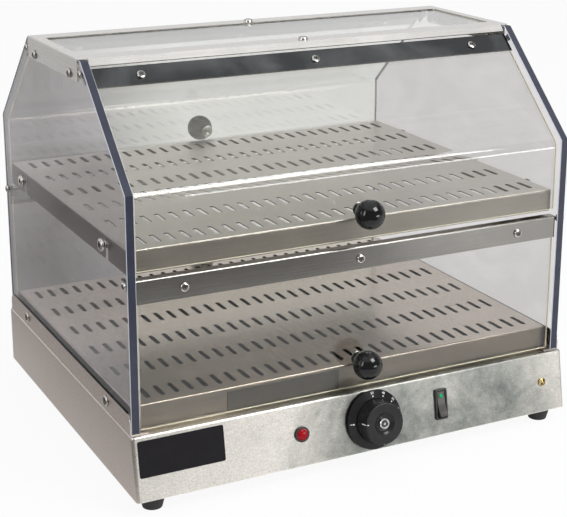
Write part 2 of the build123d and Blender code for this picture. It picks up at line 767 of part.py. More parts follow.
# Four flaps, two at the front and two at the rear
for end_name, end in (("front", -1), ("rear", 1)):
    for tier in ("upper", "lower"):
        flap_name = f"{end_name}_{tier}"
        if tier == "upper":
            pivot_y = end * upper_pivot_y
            pivot_z = upper_pivot_z
            lean = slope
            flap_y = end * upper_flap_y
            flap_foot_z = upper_flap_foot_z
        else:
            pivot_y = end * lower_pivot_y
            pivot_z = lower_pivot_z
            lean = radians(90)
            flap_y = end * lower_pivot_y
            flap_foot_z = lower_flap_foot_z
        # Section plane through the pivot axis: local X points out of the case, local Y up the leaf
        section = Plane(
            origin=(0, pivot_y, pivot_z),
            x_dir=(0, end * sin(lean), cos(lean)),
            z_dir=(end, 0, 0),
        )
        # Plane through the pivot axis facing out of the case
        facing = Plane(origin=(0, pivot_y, pivot_z), x_dir=(-end, 0, 0), z_dir=section.x_dir)
        leaf_screw_v = leaf_rise - leaf_screw_drop

        # Leaf: face, top flange and two end tabs with the pivot holes
        with BuildPart() as leaf:
            with BuildSketch(section):
                with Locations((leaf_reach, leaf_rise)):
                    Rectangle(sheet, leaf_height, align=(Align.MAX, Align.MAX))
                    Rectangle(leaf_flange, sheet, align=(Align.MAX, Align.MAX))
            extrude(amount=leaf_end, both=True)
            for hand in (-1, 1):
                with BuildSketch(section.offset(hand * leaf_end)):
                    with Locations((leaf_reach, leaf_rise)):
                        Rectangle(leaf_flange, tab_height, align=(Align.MAX, Align.MAX))
                extrude(amount=-hand * sheet)
            with BuildSketch(section):
                Circle(pivot_diameter / 2 + pivot_fit)
            extrude(amount=leaf_end, both=True, mode=Mode.SUBTRACT)
            with BuildSketch(facing):
                with Locations((0, leaf_screw_v)):
                    with GridLocations(leaf_screw_pitch, 0, 3, 1):
                        Circle(screw_hole)
            extrude(amount=leaf_reach, mode=Mode.SUBTRACT)
            top_edge = section.from_local_coords((leaf_reach, leaf_rise, 0))
            fillet(leaf.edges().filter_by(Axis.X).sort_by_distance(top_edge)[0], leaf_bend)
        leaf.part.label = f"{flap_name}_leaf"
        export_step(leaf.part, f"parts/{flap_name}_leaf.step")

        # Clear pane, following the side panes' outline
        with BuildPart() as flap:
            with BuildSketch(Plane.YZ):
                with BuildLine():
                    start = section.from_local_coords((0, -flap_top_gap, 0))
                    if tier == "upper":
                        FilletPolyline(
                            (start.Y, start.Z),
                            (flap_y, upper_flap_kink_z),
                            (flap_y, flap_foot_z),
                            radius=flap_bend,
                        )
                    else:
                        Line((start.Y, start.Z), (flap_y, flap_foot_z))
                trace(line_width=flap_thickness)
            extrude(amount=flap_width / 2, both=True)
            with BuildSketch(facing):
                with Locations((0, leaf_screw_v)):
                    with GridLocations(leaf_screw_pitch, 0, 3, 1):
                        Circle(screw_hole)
            extrude(amount=flap_thickness, both=True, mode=Mode.SUBTRACT)
            with BuildSketch(Plane.XZ.offset(-flap_y)):
                with Locations((0, flap_foot_z + knob_rise)):
                    Circle(knob_screw_diameter / 2 + screw_fit)
            extrude(amount=flap_thickness, both=True, mode=Mode.SUBTRACT)
        flap.part.label = f"{flap_name}_pane"
        export_step(flap.part, f"parts/{flap_name}_pane.step")

        # Ball knob with a collar against the pane
        knob_section = Plane(
            origin=(0, flap_y + end * flap_thickness / 2, flap_foot_z + knob_rise),
            x_dir=(0, end, 0),
            z_dir=(end, 0, 0),
        )
        knob_axis = Axis(knob_section.origin, knob_section.x_dir)
        with BuildPart() as knob:
            with BuildSketch(knob_section):
                with Locations((knob_stand, 0)):
                    Circle(knob_diameter / 2)
                Rectangle(
                    knob_collar_length, knob_collar_diameter / 2, align=(Align.MIN, Align.MIN)
                )
                with Locations((0, 0)):
                    Rectangle(
                        knob_stand + knob_diameter, knob_diameter,
                        align=(Align.MIN, Align.MIN), mode=Mode.INTERSECT,
                    )
                Rectangle(
                    knob_screw_grip + screw_fit, knob_screw_diameter / 2 + screw_fit,
                    align=(Align.MIN, Align.MIN), mode=Mode.SUBTRACT,
                )
            revolve(axis=knob_axis)
        knob.part.label = f"{flap_name}_knob"
        export_step(knob.part, f"parts/{flap_name}_knob.step")

        # Screw from inside through the pane into the knob
        with BuildPart() as knob_screw:
            with BuildSketch(knob_section):
                with Locations((-flap_thickness, 0)):
                    Rectangle(
                        knob_washer_thickness, knob_washer_diameter / 2, align=(Align.MAX, Align.MIN)
                    )
                with Locations((-flap_thickness - knob_washer_thickness, 0)):
                    Rectangle(knob_screw_head, head_diameter / 2, align=(Align.MAX, Align.MIN))
                with Locations((knob_screw_grip, 0)):
                    Rectangle(
                        knob_screw_grip + flap_thickness + knob_washer_thickness,
                        knob_screw_diameter / 2,
                        align=(Align.MAX, Align.MIN),
                    )
            revolve(axis=knob_axis)
        knob_screw.part.label = f"{flap_name}_knob_screw"
        export_step(knob_screw.part, f"parts/{flap_name}_knob_screw.step")

        # Three screws that clamp the pane behind the leaf, with nuts inside
        with BuildPart() as leaf_screws:
            with BuildSketch(facing.offset(leaf_reach)):
                with Locations((0, leaf_screw_v)):
                    with GridLocations(leaf_screw_pitch, 0, 3, 1):
                        Circle(head_diameter / 2)
            extrude(amount=head_height)
            outward = Axis(facing.origin, facing.z_dir)
            fillet(leaf_screws.faces().group_by(outward)[-1].edges(), head_round)
            with BuildSketch(facing.offset(leaf_reach)):
                with Locations((0, leaf_screw_v)):
                    with GridLocations(leaf_screw_pitch, 0, 3, 1):
                        Circle(screw_diameter / 2)
            extrude(amount=-(sheet + flap_thickness + nut_height + thread_spare))
            with BuildSketch(facing.offset(leaf_reach - sheet - flap_thickness)):
                with Locations((0, leaf_screw_v)):
                    with GridLocations(leaf_screw_pitch, 0, 3, 1):
                        RegularPolygon(nut_radius, 6)
            extrude(amount=-nut_height)
        leaf_screws.part.label = f"{flap_name}_leaf_screws"
        export_step(leaf_screws.part, f"parts/{flap_name}_leaf_screws.step")

# Heat pan hanging in the deck window by its rim
heater_legs = (-1.5, -0.5, 0.5, 1.5)
with BuildPart() as heat_pan:
    with BuildSketch(Plane.XY.offset(deck_z - pan_depth)):
        with Locations((0, window_shift)):
            RectangleRounded(pan_width, pan_length, pan_corner)
    extrude(amount=pan_depth + sheet)
    offset(amount=-sheet, openings=heat_pan.faces().sort_by(Axis.Z)[-1])
    with BuildSketch(Plane.XY.offset(deck_z)):
        with Locations((0, window_shift)):
            RectangleRounded(pan_width + 2 * pan_rim, pan_length + 2 * pan_rim, pan_corner + pan_rim)
            RectangleRounded(
                pan_width - 2 * sheet, pan_length - 2 * sheet, pan_corner - sheet, mode=Mode.SUBTRACT
            )
            with GridLocations(pan_width + 2 * (pan_rim - pan_screw_inset), pan_screw_span, 2, 2):
                Circle(screw_hole, mode=Mode.SUBTRACT)
    extrude(amount=sheet)
    with BuildSketch(Plane.XZ.offset(-pan_front_y)):
        with Locations((0, heater_z)):
            with GridLocations(3 * heater_leg_pitch, 0, 2, 1):
                Circle(heater_diameter / 2 + heater_hole_fit)
        with Locations((dial_x, heater_z)):
            Circle(probe_tube_diameter / 2 + probe_hole_fit)
    extrude(amount=-2 * sheet, mode=Mode.SUBTRACT)
heat_pan.part.label = "heat_pan"
export_step(heat_pan.part, "parts/heat_pan.step")

# Pan screws through rim and deck, with nuts under the deck
with BuildPart() as pan_screws:
    with BuildSketch(Plane.XY.offset(pane_foot_z)):
        with Locations((0, window_shift)):
            with GridLocations(pan_width + 2 * (pan_rim - pan_screw_inset), pan_screw_span, 2, 2):
                Circle(head_diameter / 2)
    extrude(amount=head_height)
    fillet(pan_screws.faces().group_by(Axis.Z)[-1].edges(), head_round)
    with BuildSketch(Plane.XY.offset(pane_foot_z)):
        with Locations((0, window_shift)):
            with GridLocations(pan_width + 2 * (pan_rim - pan_screw_inset), pan_screw_span, 2, 2):
                Circle(screw_diameter / 2)
    extrude(amount=-(2 * sheet + nut_height + thread_spare))
    with BuildSketch(Plane.XY.offset(deck_z - sheet)):
        with Locations((0, window_shift)):
            with GridLocations(pan_width + 2 * (pan_rim - pan_screw_inset), pan_screw_span, 2, 2):
                RegularPolygon(nut_radius, 6)
    extrude(amount=-nut_height)
pan_screws.part.label = "pan_screws"
export_step(pan_screws.part, "parts/pan_screws.step")

# Heating element: one bent tube whose ends pass through the pan's front wall
leg_x = [leg * heater_leg_pitch for leg in heater_legs]
tail_y = pan_front_y - heater_tail
with BuildPart() as heating_element:
    with BuildLine():
        FilletPolyline(
            (leg_x[0], tail_y, heater_z),
            (leg_x[0], heater_rear_y, heater_z),
            (leg_x[1], heater_rear_y, heater_z),
            (leg_x[1], heater_front_y, heater_z),
            (leg_x[2], heater_front_y, heater_z),
            (leg_x[2], heater_rear_y, heater_z),
            (leg_x[3], heater_rear_y, heater_z),
            (leg_x[3], tail_y, heater_z),
            radius=heater_turn,
        )
    with BuildSketch(Plane(origin=(leg_x[0], tail_y, heater_z), z_dir=(0, 1, 0))):
        Circle(heater_diameter / 2)
    sweep()
    with BuildSketch(Plane.XZ.offset(-pan_front_y - sheet)):
        with Locations((0, heater_z)):
            with GridLocations(3 * heater_leg_pitch, 0, 2, 1):
                Circle(bushing_diameter / 2)
    extrude(amount=-bushing_length)
    with BuildSketch(Plane.XZ.offset(-pan_front_y)):
        with Locations((0, heater_z)):
            with GridLocations(3 * heater_leg_pitch, 0, 2, 1):
                RegularPolygon(bushing_diameter / 2, 6)
    extrude(amount=bushing_length)
    with BuildSketch(Plane.XZ.offset(-tail_y)):
        with Locations((0, heater_z)):
            with GridLocations(3 * heater_leg_pitch, 0, 2, 1):
                Circle(pin_diameter / 2)
    extrude(amount=pin_length)
heating_element.part.label = "heating_element"
export_step(heating_element.part, "parts/heating_element.step")

# Notched strips that carry the element's legs
with BuildPart() as heater_supports:
    with BuildSketch(Plane.XY.offset(pan_floor_z)):
        with Locations((0, support_shift)):
            with GridLocations(0, support_pitch, 1, 2):
                Rectangle(support_length, support_foot)
    extrude(amount=sheet)
    for row in (-1, 1):
        with BuildSketch(Plane.XZ.offset(-support_shift - row * support_pitch / 2)):
            with Locations((0, pan_floor_z)):
                Rectangle(support_length, heater_lift, align=(Align.CENTER, Align.MIN))
            with Locations((0, heater_z)):
                with GridLocations(heater_leg_pitch, 0, len(heater_legs), 1):
                    Circle(heater_diameter / 2 + heater_fit, mode=Mode.SUBTRACT)
        extrude(amount=sheet / 2, both=True)
heater_supports.part.label = "heater_supports"
export_step(heater_supports.part, "parts/heater_supports.step")

# Notched clips that carry the thermostat's bulb
bulb_x = dial_x + probe_lead
with BuildPart() as probe_clips:
    for row in (-1, 1):
        with BuildSketch(Plane.YZ.offset(bulb_x + (probe_bulb_length + row * clip_pitch) / 2)):
            with Locations((probe_bulb_y, pan_floor_z)):
                Rectangle(clip_width, heater_lift, align=(Align.CENTER, Align.MIN))
            with Locations((probe_bulb_y, heater_z)):
                Circle(probe_bulb_diameter / 2 + heater_fit, mode=Mode.SUBTRACT)
        extrude(amount=sheet / 2, both=True)
probe_clips.part.label = "probe_clips"
export_step(probe_clips.part, "parts/probe_clips.step")

# Thermostat probe: capillary from the thermostat's back to the bulb in the pan
probe_start = panel.from_local_coords((dial_x, control_rise, -sheet - thermostat_depth))
probe_turn = panel.from_local_coords((dial_x, control_rise, -sheet - thermostat_depth - probe_run))
with BuildPart() as thermostat_probe:
    with BuildLine():
        FilletPolyline(
            probe_start,
            probe_turn,
            (dial_x, probe_turn.Y, heater_z),
            (dial_x, probe_bulb_y, heater_z),
            (bulb_x, probe_bulb_y, heater_z),
            radius=probe_bend,
        )
    with BuildSketch(Plane(origin=probe_start, z_dir=probe_turn - probe_start)):
        Circle(probe_tube_diameter / 2)
    sweep()
    with BuildSketch(Plane.YZ.offset(bulb_x)):
        with Locations((probe_bulb_y, heater_z)):
            Circle(probe_bulb_diameter / 2)
    extrude(amount=probe_bulb_length)
thermostat_probe.part.label = "thermostat_probe"
export_step(thermostat_probe.part, "parts/thermostat_probe.step")

# Thermostat body behind the panel
with BuildPart() as thermostat_body:
    with BuildSketch(panel.offset(-sheet)):
        with Locations((dial_x, control_rise)):
            Rectangle(thermostat_width, thermostat_height)
    extrude(amount=-thermostat_depth)
    with BuildSketch(panel.offset(-sheet)):
        with Locations((dial_x, control_rise)):
            Circle(thermostat_bush_diameter / 2)
    extrude(amount=sheet + thermostat_bush_length)
    with BuildSketch(panel.offset(thermostat_bush_length)):
        with Locations((dial_x, control_rise)):
            Circle(shaft_diameter / 2 + shaft_fit)
    extrude(amount=-thermostat_bush_length - shaft_bore_depth, mode=Mode.SUBTRACT)
    with BuildSketch(panel.offset(-sheet)):
        with Locations((dial_x, control_rise)):
            with GridLocations(thermostat_screw_pitch, 0, 2, 1):
                Circle(screw_hole)
    extrude(amount=-thermostat_screw_grip, mode=Mode.SUBTRACT)
thermostat_body.part.label = "thermostat_body"
export_step(thermostat_body.part, "parts/thermostat_body.step")

# Screws that hold the thermostat to the panel, hidden by the dial
with BuildPart() as thermostat_screws:
    with BuildSketch(panel):
        with Locations((dial_x, control_rise)):
            with GridLocations(thermostat_screw_pitch, 0, 2, 1):
                Circle(head_diameter / 2)
    extrude(amount=head_height)
    with BuildSketch(panel):
        with Locations((dial_x, control_rise)):
            with GridLocations(thermostat_screw_pitch, 0, 2, 1):
                Circle(screw_diameter / 2)
    extrude(amount=-thermostat_screw_grip)
thermostat_screws.part.label = "thermostat_screws"
export_step(thermostat_screws.part, "parts/thermostat_screws.step")

# Shaft turning in the thermostat's bush
with BuildPart() as thermostat_shaft:
    with BuildSketch(panel.offset(-shaft_inside)):
        with Locations((dial_x, control_rise)):
            Circle(shaft_diameter / 2)
    extrude(amount=shaft_inside + shaft_outside)
thermostat_shaft.part.label = "thermostat_shaft"
export_step(thermostat_shaft.part, "parts/thermostat_shaft.step")

# Dial: bevelled skirt, tapered boss and a dish for the cap
dial_section = Plane(
    origin=panel.from_local_coords((dial_x, control_rise, dial_gap)),
    x_dir=(1, 0, 0),
    z_dir=(0, -sin(rake), -cos(rake)),
)
dial_axis = Axis(dial_section.origin, panel.z_dir)
with BuildPart() as thermostat_dial:
    with BuildSketch(dial_section):
        with BuildLine():
            Polyline(
                (shaft_diameter / 2 + shaft_fit, dial_recess_depth),
                (dial_recess_diameter / 2, dial_recess_depth),
                (dial_recess_diameter / 2, 0),
                (dial_diameter / 2, 0),
                (dial_diameter / 2, dial_skirt_edge),
                (dial_diameter / 2 - dial_bevel, dial_skirt_height),
                (dial_boss_foot_diameter / 2, dial_skirt_height),
                (dial_boss_top_diameter / 2, dial_height),
                (dial_dish_diameter / 2, dial_height),
                (dial_dish_diameter / 2, dial_height - dial_dish_depth),
                (0, dial_height - dial_dish_depth),
                (0, shaft_outside - dial_gap),
                (shaft_diameter / 2 + shaft_fit, shaft_outside - dial_gap),
                close=True,
            )
        make_face()
    revolve(axis=dial_axis)
    top_rims = thermostat_dial.edges().filter_by(GeomType.CIRCLE).group_by(dial_axis)[-1]
    fillet(top_rims, dial_round)
thermostat_dial.part.label = "thermostat_dial"
export_step(thermostat_dial.part, "parts/thermostat_dial.step")

# Bright cap in the dial's dish
with BuildPart() as dial_cap:
    with BuildSketch(panel.offset(dial_gap + dial_height - dial_dish_depth)):
        with Locations((dial_x, control_rise)):
            Circle(dial_cap_diameter / 2)
    extrude(amount=dial_cap_height)
    fillet(dial_cap.edges().group_by(dial_axis)[-1], dial_cap_height / 2)
dial_cap.part.label = "dial_cap"
export_step(dial_cap.part, "parts/dial_cap.step")

# Switch housing: bezel on the panel, body behind it, a well for the rocker
with BuildPart() as switch_housing:
    with BuildSketch(panel):
        with Locations((switch_x, control_rise)):
            RectangleRounded(bezel_width, bezel_height, bezel_corner)
    extrude(amount=bezel_stand)
    fillet(switch_housing.faces().sort_by(dial_axis)[-1].edges(), bezel_corner / 2)
    with BuildSketch(panel):
        with Locations((switch_x, control_rise)):
            Rectangle(switch_body_width, switch_body_height)
    extrude(amount=-switch_body_depth)
    with BuildSketch(panel.offset(bezel_stand)):
        with Locations((switch_x, control_rise)):
            Rectangle(rocker_width + 2 * rocker_gap, rocker_well_length)
    extrude(amount=-rocker_well_depth, mode=Mode.SUBTRACT)
    with BuildSketch(Plane.YZ.offset(switch_x)):
        with Locations(Plane.YZ.to_local_coords(panel.from_local_coords((0, control_rise, 0)))):
            Circle(rocker_pin_diameter / 2 + pivot_fit)
    extrude(amount=rocker_width / 2 + rocker_pin_length + pivot_fit, both=True, mode=Mode.SUBTRACT)
switch_housing.part.label = "switch_housing"
export_step(switch_housing.part, "parts/switch_housing.step")

# Rocker, drawn level and tilted with its top pressed in
rocker_lean = rake + radians(rocker_tilt)
rocker_plane = Plane(
    origin=panel.from_local_coords((switch_x, control_rise, 0)),
    x_dir=(0, sin(rocker_lean), cos(rocker_lean)),
    z_dir=(1, 0, 0),
)
lens_v = rocker_length / 3
lens_foot = rocker_mid_height + (rocker_end_height - rocker_mid_height) * 2 / 3 - switch_lens_seat
lens_plane = Plane(
    origin=rocker_plane.from_local_coords((lens_v, lens_foot, 0)),
    x_dir=(1, 0, 0),
    z_dir=rocker_plane.y_dir,
)
with BuildPart() as switch_rocker:
    with BuildSketch(rocker_plane):
        with BuildLine():
            Polyline(
                (-rocker_length / 2, rocker_end_height),
                (0, rocker_mid_height),
                (rocker_length / 2, rocker_end_height),
                (rocker_length / 2 - rocker_gap, -rocker_depth),
                (-rocker_length / 2 + rocker_gap, -rocker_depth),
                close=True,
            )
        make_face()
    extrude(amount=rocker_width / 2, both=True)
    with BuildSketch(rocker_plane):
        Circle(rocker_pin_diameter / 2)
    extrude(amount=rocker_width / 2 + rocker_pin_length, both=True)
    with BuildSketch(lens_plane):
        Circle(switch_lens_diameter / 2 + lens_fit)
    extrude(amount=rocker_depth, mode=Mode.SUBTRACT)
switch_rocker.part.label = "switch_rocker"
export_step(switch_rocker.part, "parts/switch_rocker.step")

# Green lens set in the rocker's upper half
with BuildPart() as switch_lens:
    with BuildSketch(lens_plane):
        Circle(switch_lens_diameter / 2)
    extrude(amount=switch_lens_seat + switch_lens_stand)
switch_lens.part.label = "switch_lens"
export_step(switch_lens.part, "parts/switch_lens.step")

# Pilot lamp housing with its nut behind the panel
with BuildPart() as pilot_housing:
    with BuildSketch(panel):
        with Locations((lamp_x, control_rise)):
            Circle(lamp_flange_diameter / 2)
    extrude(amount=lamp_flange_height)
    fillet(pilot_housing.edges().group_by(dial_axis)[-1], lamp_flange_height / 3)
    with BuildSketch(panel):
        with Locations((lamp_x, control_rise)):
            Circle(lamp_body_diameter / 2)
    extrude(amount=-lamp_body_depth)
    with BuildSketch(panel.offset(-sheet)):
        with Locations((lamp_x, control_rise)):
            RegularPolygon(lamp_nut_diameter / 2, 6)
    extrude(amount=-nut_height)
    with BuildSketch(panel.offset(lamp_flange_height)):
        with Locations((lamp_x, control_rise)):
            Circle(lamp_lens_diameter / 2 + lens_fit)
    extrude(amount=-lamp_lens_seat, mode=Mode.SUBTRACT)
pilot_housing.part.label = "pilot_housing"
export_step(pilot_housing.part, "parts/pilot_housing.step")

# Red lens seated in the lamp's flange
with BuildPart() as pilot_lens:
    with BuildSketch(panel.offset(lamp_flange_height - lamp_lens_seat)):
        with Locations((lamp_x, control_rise)):
            Circle(lamp_lens_diameter / 2)
    extrude(amount=lamp_lens_seat + lamp_lens_stand)
    fillet(pilot_lens.edges().group_by(dial_axis)[-1], lamp_lens_stand - lens_fit)
pilot_lens.part.label = "pilot_lens"
export_step(pilot_lens.part, "parts/pilot_lens.step")

# Brass earth screw with its nut behind the panel
with BuildPart() as earth_screw:
    with BuildSketch(panel):
        with Locations((earth_x, control_rise)):
            Circle(head_diameter / 2)
    extrude(amount=head_height)
    fillet(earth_screw.edges().group_by(dial_axis)[-1], head_round)
    with BuildSketch(panel):
        with Locations((earth_x, control_rise)):
            Circle(screw_diameter / 2)
    extrude(amount=-(sheet + nut_height + thread_spare))
    with BuildSketch(panel.offset(-sheet)):
        with Locations((earth_x, control_rise)):
            RegularPolygon(nut_radius, 6)
    extrude(amount=-nut_height)
earth_screw.part.label = "earth_screw"
export_step(earth_screw.part, "parts/earth_screw.step")

# Thin plate in the place of the label
with BuildPart() as label_plate:
    with BuildSketch(panel):
        with Locations((label_x, label_rise)):
            RectangleRounded(label_width, label_height, label_corner)
    extrude(amount=label_thickness)
label_plate.part.label = "label_plate"
export_step(label_plate.part, "parts/label_plate.step")

# Cable gland through the rear wall
gland_section = Plane(origin=(gland_x, base_depth / 2, foot_height + gland_rise))
gland_axis = Axis(gland_section.origin, (0, 1, 0))
with BuildPart() as cable_gland:
    with BuildSketch(gland_section):
        with BuildLine():
            Polyline(
                (gland_bore_diameter / 2, -gland_thread_length),
                (gland_thread_diameter / 2, -gland_thread_length),
                (gland_thread_diameter / 2, 0),
                (gland_cap_diameter / 2, 0),
                (gland_cap_diameter / 2, gland_hex_length + gland_cap_length),
                (gland_nose_diameter / 2, gland_hex_length + gland_cap_length + gland_nose_length),
                (gland_bore_diameter / 2, gland_hex_length + gland_cap_length + gland_nose_length),
                close=True,
            )
        make_face()
    revolve(axis=gland_axis)
    with BuildSketch(Plane.XZ.offset(-base_depth / 2)):
        with Locations((gland_x, foot_height + gland_rise)):
            RegularPolygon(gland_hex_corners / 2, 6)
            Circle(gland_bore_diameter / 2, mode=Mode.SUBTRACT)
    extrude(amount=-gland_hex_length)
cable_gland.part.label = "cable_gland"
export_step(cable_gland.part, "parts/cable_gland.step")

# Lock nut inside the rear wall
with BuildPart() as gland_nut:
    with BuildSketch(Plane.XZ.offset(-base_depth / 2 + sheet)):
        with Locations((gland_x, foot_height + gland_rise)):
            RegularPolygon(gland_hex_corners / 2, 6)
            Circle(gland_thread_diameter / 2 + gland_fit, mode=Mode.SUBTRACT)
    extrude(amount=gland_nut_thickness)
gland_nut.part.label = "gland_nut"
export_step(gland_nut.part, "parts/gland_nut.step")

# Terminal block on the bottom plate beside the gland
with BuildPart() as terminal_block:
    with BuildSketch(Plane.XY.offset(floor_z)):
        with Locations((block_x, block_y)):
            Rectangle(block_width, block_depth)
    extrude(amount=block_height)
    with BuildSketch(Plane.XY.offset(floor_z + block_height)):
        with Locations((block_x, block_y)):
            with GridLocations(block_pitch, 0, 3, 1):
                Circle(block_hole / 2)
    extrude(amount=-block_height / 2, mode=Mode.SUBTRACT)
terminal_block.part.label = "terminal_block"
export_step(terminal_block.part, "parts/terminal_block.step")
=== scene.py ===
import json
import math

import bmesh
import bpy
from bpy.props import FloatProperty, FloatVectorProperty, IntProperty, PointerProperty
from bpy.types import Operator, Panel, PropertyGroup
from mathutils import Matrix, Vector


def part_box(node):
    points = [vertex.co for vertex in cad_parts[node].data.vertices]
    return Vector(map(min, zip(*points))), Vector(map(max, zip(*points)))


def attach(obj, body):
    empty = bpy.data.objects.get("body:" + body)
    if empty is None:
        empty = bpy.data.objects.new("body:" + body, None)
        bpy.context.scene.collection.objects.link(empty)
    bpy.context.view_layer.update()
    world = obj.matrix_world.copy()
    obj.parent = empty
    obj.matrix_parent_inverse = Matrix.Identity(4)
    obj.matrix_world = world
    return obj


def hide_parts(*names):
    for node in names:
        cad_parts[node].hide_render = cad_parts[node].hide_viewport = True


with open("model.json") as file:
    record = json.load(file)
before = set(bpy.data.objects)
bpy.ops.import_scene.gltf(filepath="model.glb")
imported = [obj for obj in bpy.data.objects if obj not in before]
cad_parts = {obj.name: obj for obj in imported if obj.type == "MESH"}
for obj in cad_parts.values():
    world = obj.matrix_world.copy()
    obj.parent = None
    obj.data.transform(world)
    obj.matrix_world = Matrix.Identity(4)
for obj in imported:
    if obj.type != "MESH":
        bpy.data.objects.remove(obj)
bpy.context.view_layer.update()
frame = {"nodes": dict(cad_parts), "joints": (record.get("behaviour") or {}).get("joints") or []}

bl_info = {
    "name": "Heated display case",
    "version": (1, 0, 0),
    "blender": (4, 5, 0),
    "location": "View3D > Sidebar > Display case",
    "description": "Dresses the display case in brushed sheet, acrylic panes, fasteners and controls",
    "category": "Object",
}

JOINTS = {joint["name"]: joint for joint in frame["joints"]}
# Name of each flap, the way it faces along Y, its tier and its end
FLAPS = [
    (f"{end}_{tier}", way, tier, end)
    for end, way in (("front", -1), ("rear", 1)) for tier in ("upper", "lower")
]
X_AXIS = Vector((1, 0, 0))
HAIR = 0.00008  # keeps a sheet's faces just inside those of its CAD node
PANE_FACE, RAIL_FACE = 0.248, 0.249  # outer faces, from the middle of the case
SCREW_BORE, STUD_BORE, PIVOT_BORE = 0.0021, 0.0026, 0.00185  # radii of the holes in the acrylic
HOLE_SIDES = 28
FLAP_EDGE, SLANTED_EDGE = 0.0006, 0.0032  # heights at a flap pane's ends that show its cut edge
PANE_START = 0.003  # from a flap's pivot down to its pane
LEAF_FACE, LEAF_SCREW = 0.003, 0.0085  # from a flap's pivot out to its leaf and down to the leaf's screws
TRAY_RIM = 0.006  # from the sides of a tray to its slotted part
PAN_HEIGHT, PAN_BULGE = 0.0026, 0.0016  # pan heads, and the rounding of their rims
KEY_DEPTH, KEY_RISE = 0.0016, 0.0004  # a cross recess, and how far its cutter stands out
NUT_CORNERS, NUT_HEIGHT, NUT_CHAMFER = 0.008, 0.0032, 0.0004
DOME_RISE = 0.0032
INK = 0.00006  # thickness of the dial's print
SQUARELY = 0.7  # least share of a normal along an axis for a face that looks along it
COLOUR, NUMBER, VECTOR = "NodeSocketColor", "NodeSocketFloat", "NodeSocketVector"


# Small makers of meshes and pieces

def piece(name, mesh, finishes, body, nodes, place=None):
    """A shown object on a body, in place of CAD nodes, with its finishes in slot order."""
    made = bpy.data.objects.new(name, mesh)
    bpy.context.scene.collection.objects.link(made)
    for finish in finishes:
        mesh.materials.append(finish)
    if place is not None:
        mesh.transform(place)
    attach(made, body)
    if nodes:
        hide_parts(*nodes)


def smoothed(mesh, angle):
    """The mesh, smooth except across edges sharper than the angle."""
    mesh.shade_smooth()
    mesh.set_sharp_from_angle(angle=math.radians(angle))
    return mesh


def smooth_mesh(bm, name, angle):
    """Mesh from a bmesh, smooth except across edges sharper than the angle."""
    bmesh.ops.recalc_face_normals(bm, faces=bm.faces)
    mesh = bpy.data.meshes.new(name)
    bm.to_mesh(mesh)
    bm.free()
    return smoothed(mesh, angle)


def add_turned(bm, profile, steps, place=None, flutes=0, depth=0.0):
    """Turns (radius, height) points about Z. Flutes make the wall wavy where a point has a third value."""
    place = place or Matrix.Identity(4)
    rings = []
    for radius, height, *wave in profile:
        if radius < 1e-7:
            rings.append([bm.verts.new(place @ Vector((0, 0, height)))])
            continue
        ring = []
        for step in range(steps):
            turn = 2 * math.pi * step / steps
            reach = radius - sum(wave) * depth * (0.5 - 0.5 * math.cos(flutes * turn))
            spot = Vector((reach * math.cos(turn), reach * math.sin(turn), height))
            ring.append(bm.verts.new(place @ spot))
        rings.append(ring)
    for low, high in zip(rings, rings[1:]):
        for step in range(steps):
            after = (step + 1) % steps
            corners = [low[step % len(low)], low[after % len(low)]]
            corners += [high[after % len(high)], high[step % len(high)]]
            corners = list(dict.fromkeys(corners))
            if len(corners) > 2:
                bm.faces.new(corners)


def add_prism(bm, outline, low, high, place=None, chamfer=0.0):
    """Straight prism on an XY outline between two heights, with chamfered rims."""
    place = place or Matrix.Identity(4)
    middle = sum((Vector(p) for p in outline), Vector((0, 0))) / len(outline)
    rings = []
    for height, inset in ((low, chamfer), (low + chamfer, 0.0), (high - chamfer, 0.0), (high, chamfer)):
        ring = []
        for p in outline:
            arm = Vector(p) - middle
            spot = middle + arm * max(0.0, 1 - inset / arm.length)
            ring.append(bm.verts.new(place @ Vector((spot.x, spot.y, height))))
        rings.append(ring)
    count = len(outline)
    for low_ring, high_ring in zip(rings, rings[1:]):
        for i in range(count):
            j = (i + 1) % count
            bm.faces.new((low_ring[i], low_ring[j], high_ring[j], high_ring[i]))
    bm.faces.new(rings[0][::-1])
    bm.faces.new(rings[-1])


def add_nut(bm, top):
    """Hexagon nut under a height."""
    add_prism(bm, ring_points(NUT_CORNERS / 2, 6), top - NUT_HEIGHT, top, chamfer=NUT_CHAMFER)


def rectangle(left, bottom, right, top):
    """Corners of a rectangle, anticlockwise."""
    return [(left, bottom), (right, bottom), (right, top), (left, top)]


def ring_points(radius, count):
    """Corners of a regular polygon."""
    turns = [2 * math.pi * i / count for i in range(count)]
    return [(radius * math.cos(t), radius * math.sin(t)) for t in turns]


def arc_points(centre, radius, start, end, count, tall=None):
    """Points on an arc from one angle to another, in degrees. tall is the upright radius of an oval one."""
    tall = radius if tall is None else tall
    turns = [math.radians(start + (end - start) * i / count) for i in range(count + 1)]
    return [(centre[0] + radius * math.cos(t), centre[1] + tall * math.sin(t)) for t in turns]


def rounded_path(points, radii, steps=10):
    """Closed run of points whose corners are arcs of the given radii."""
    made = []
    count = len(points)
    for i, (point, radius) in enumerate(zip(points, radii)):
        here = Vector(point)
        if radius <= 0:
            made.append(here)
            continue
        before = (Vector(points[i - 1]) - here).normalized()
        after = (Vector(points[(i + 1) % count]) - here).normalized()
        half = before.angle(after) / 2
        centre = here + (before + after).normalized() * radius / math.sin(half)
        start = here + before * radius / math.tan(half) - centre
        sweep = start.angle_signed(here + after * radius / math.tan(half) - centre)
        for step in range(steps + 1):
            made.append(centre + Matrix.Rotation(-sweep * step / steps, 2) @ start)
    return [(p.x, p.y) for p in made]


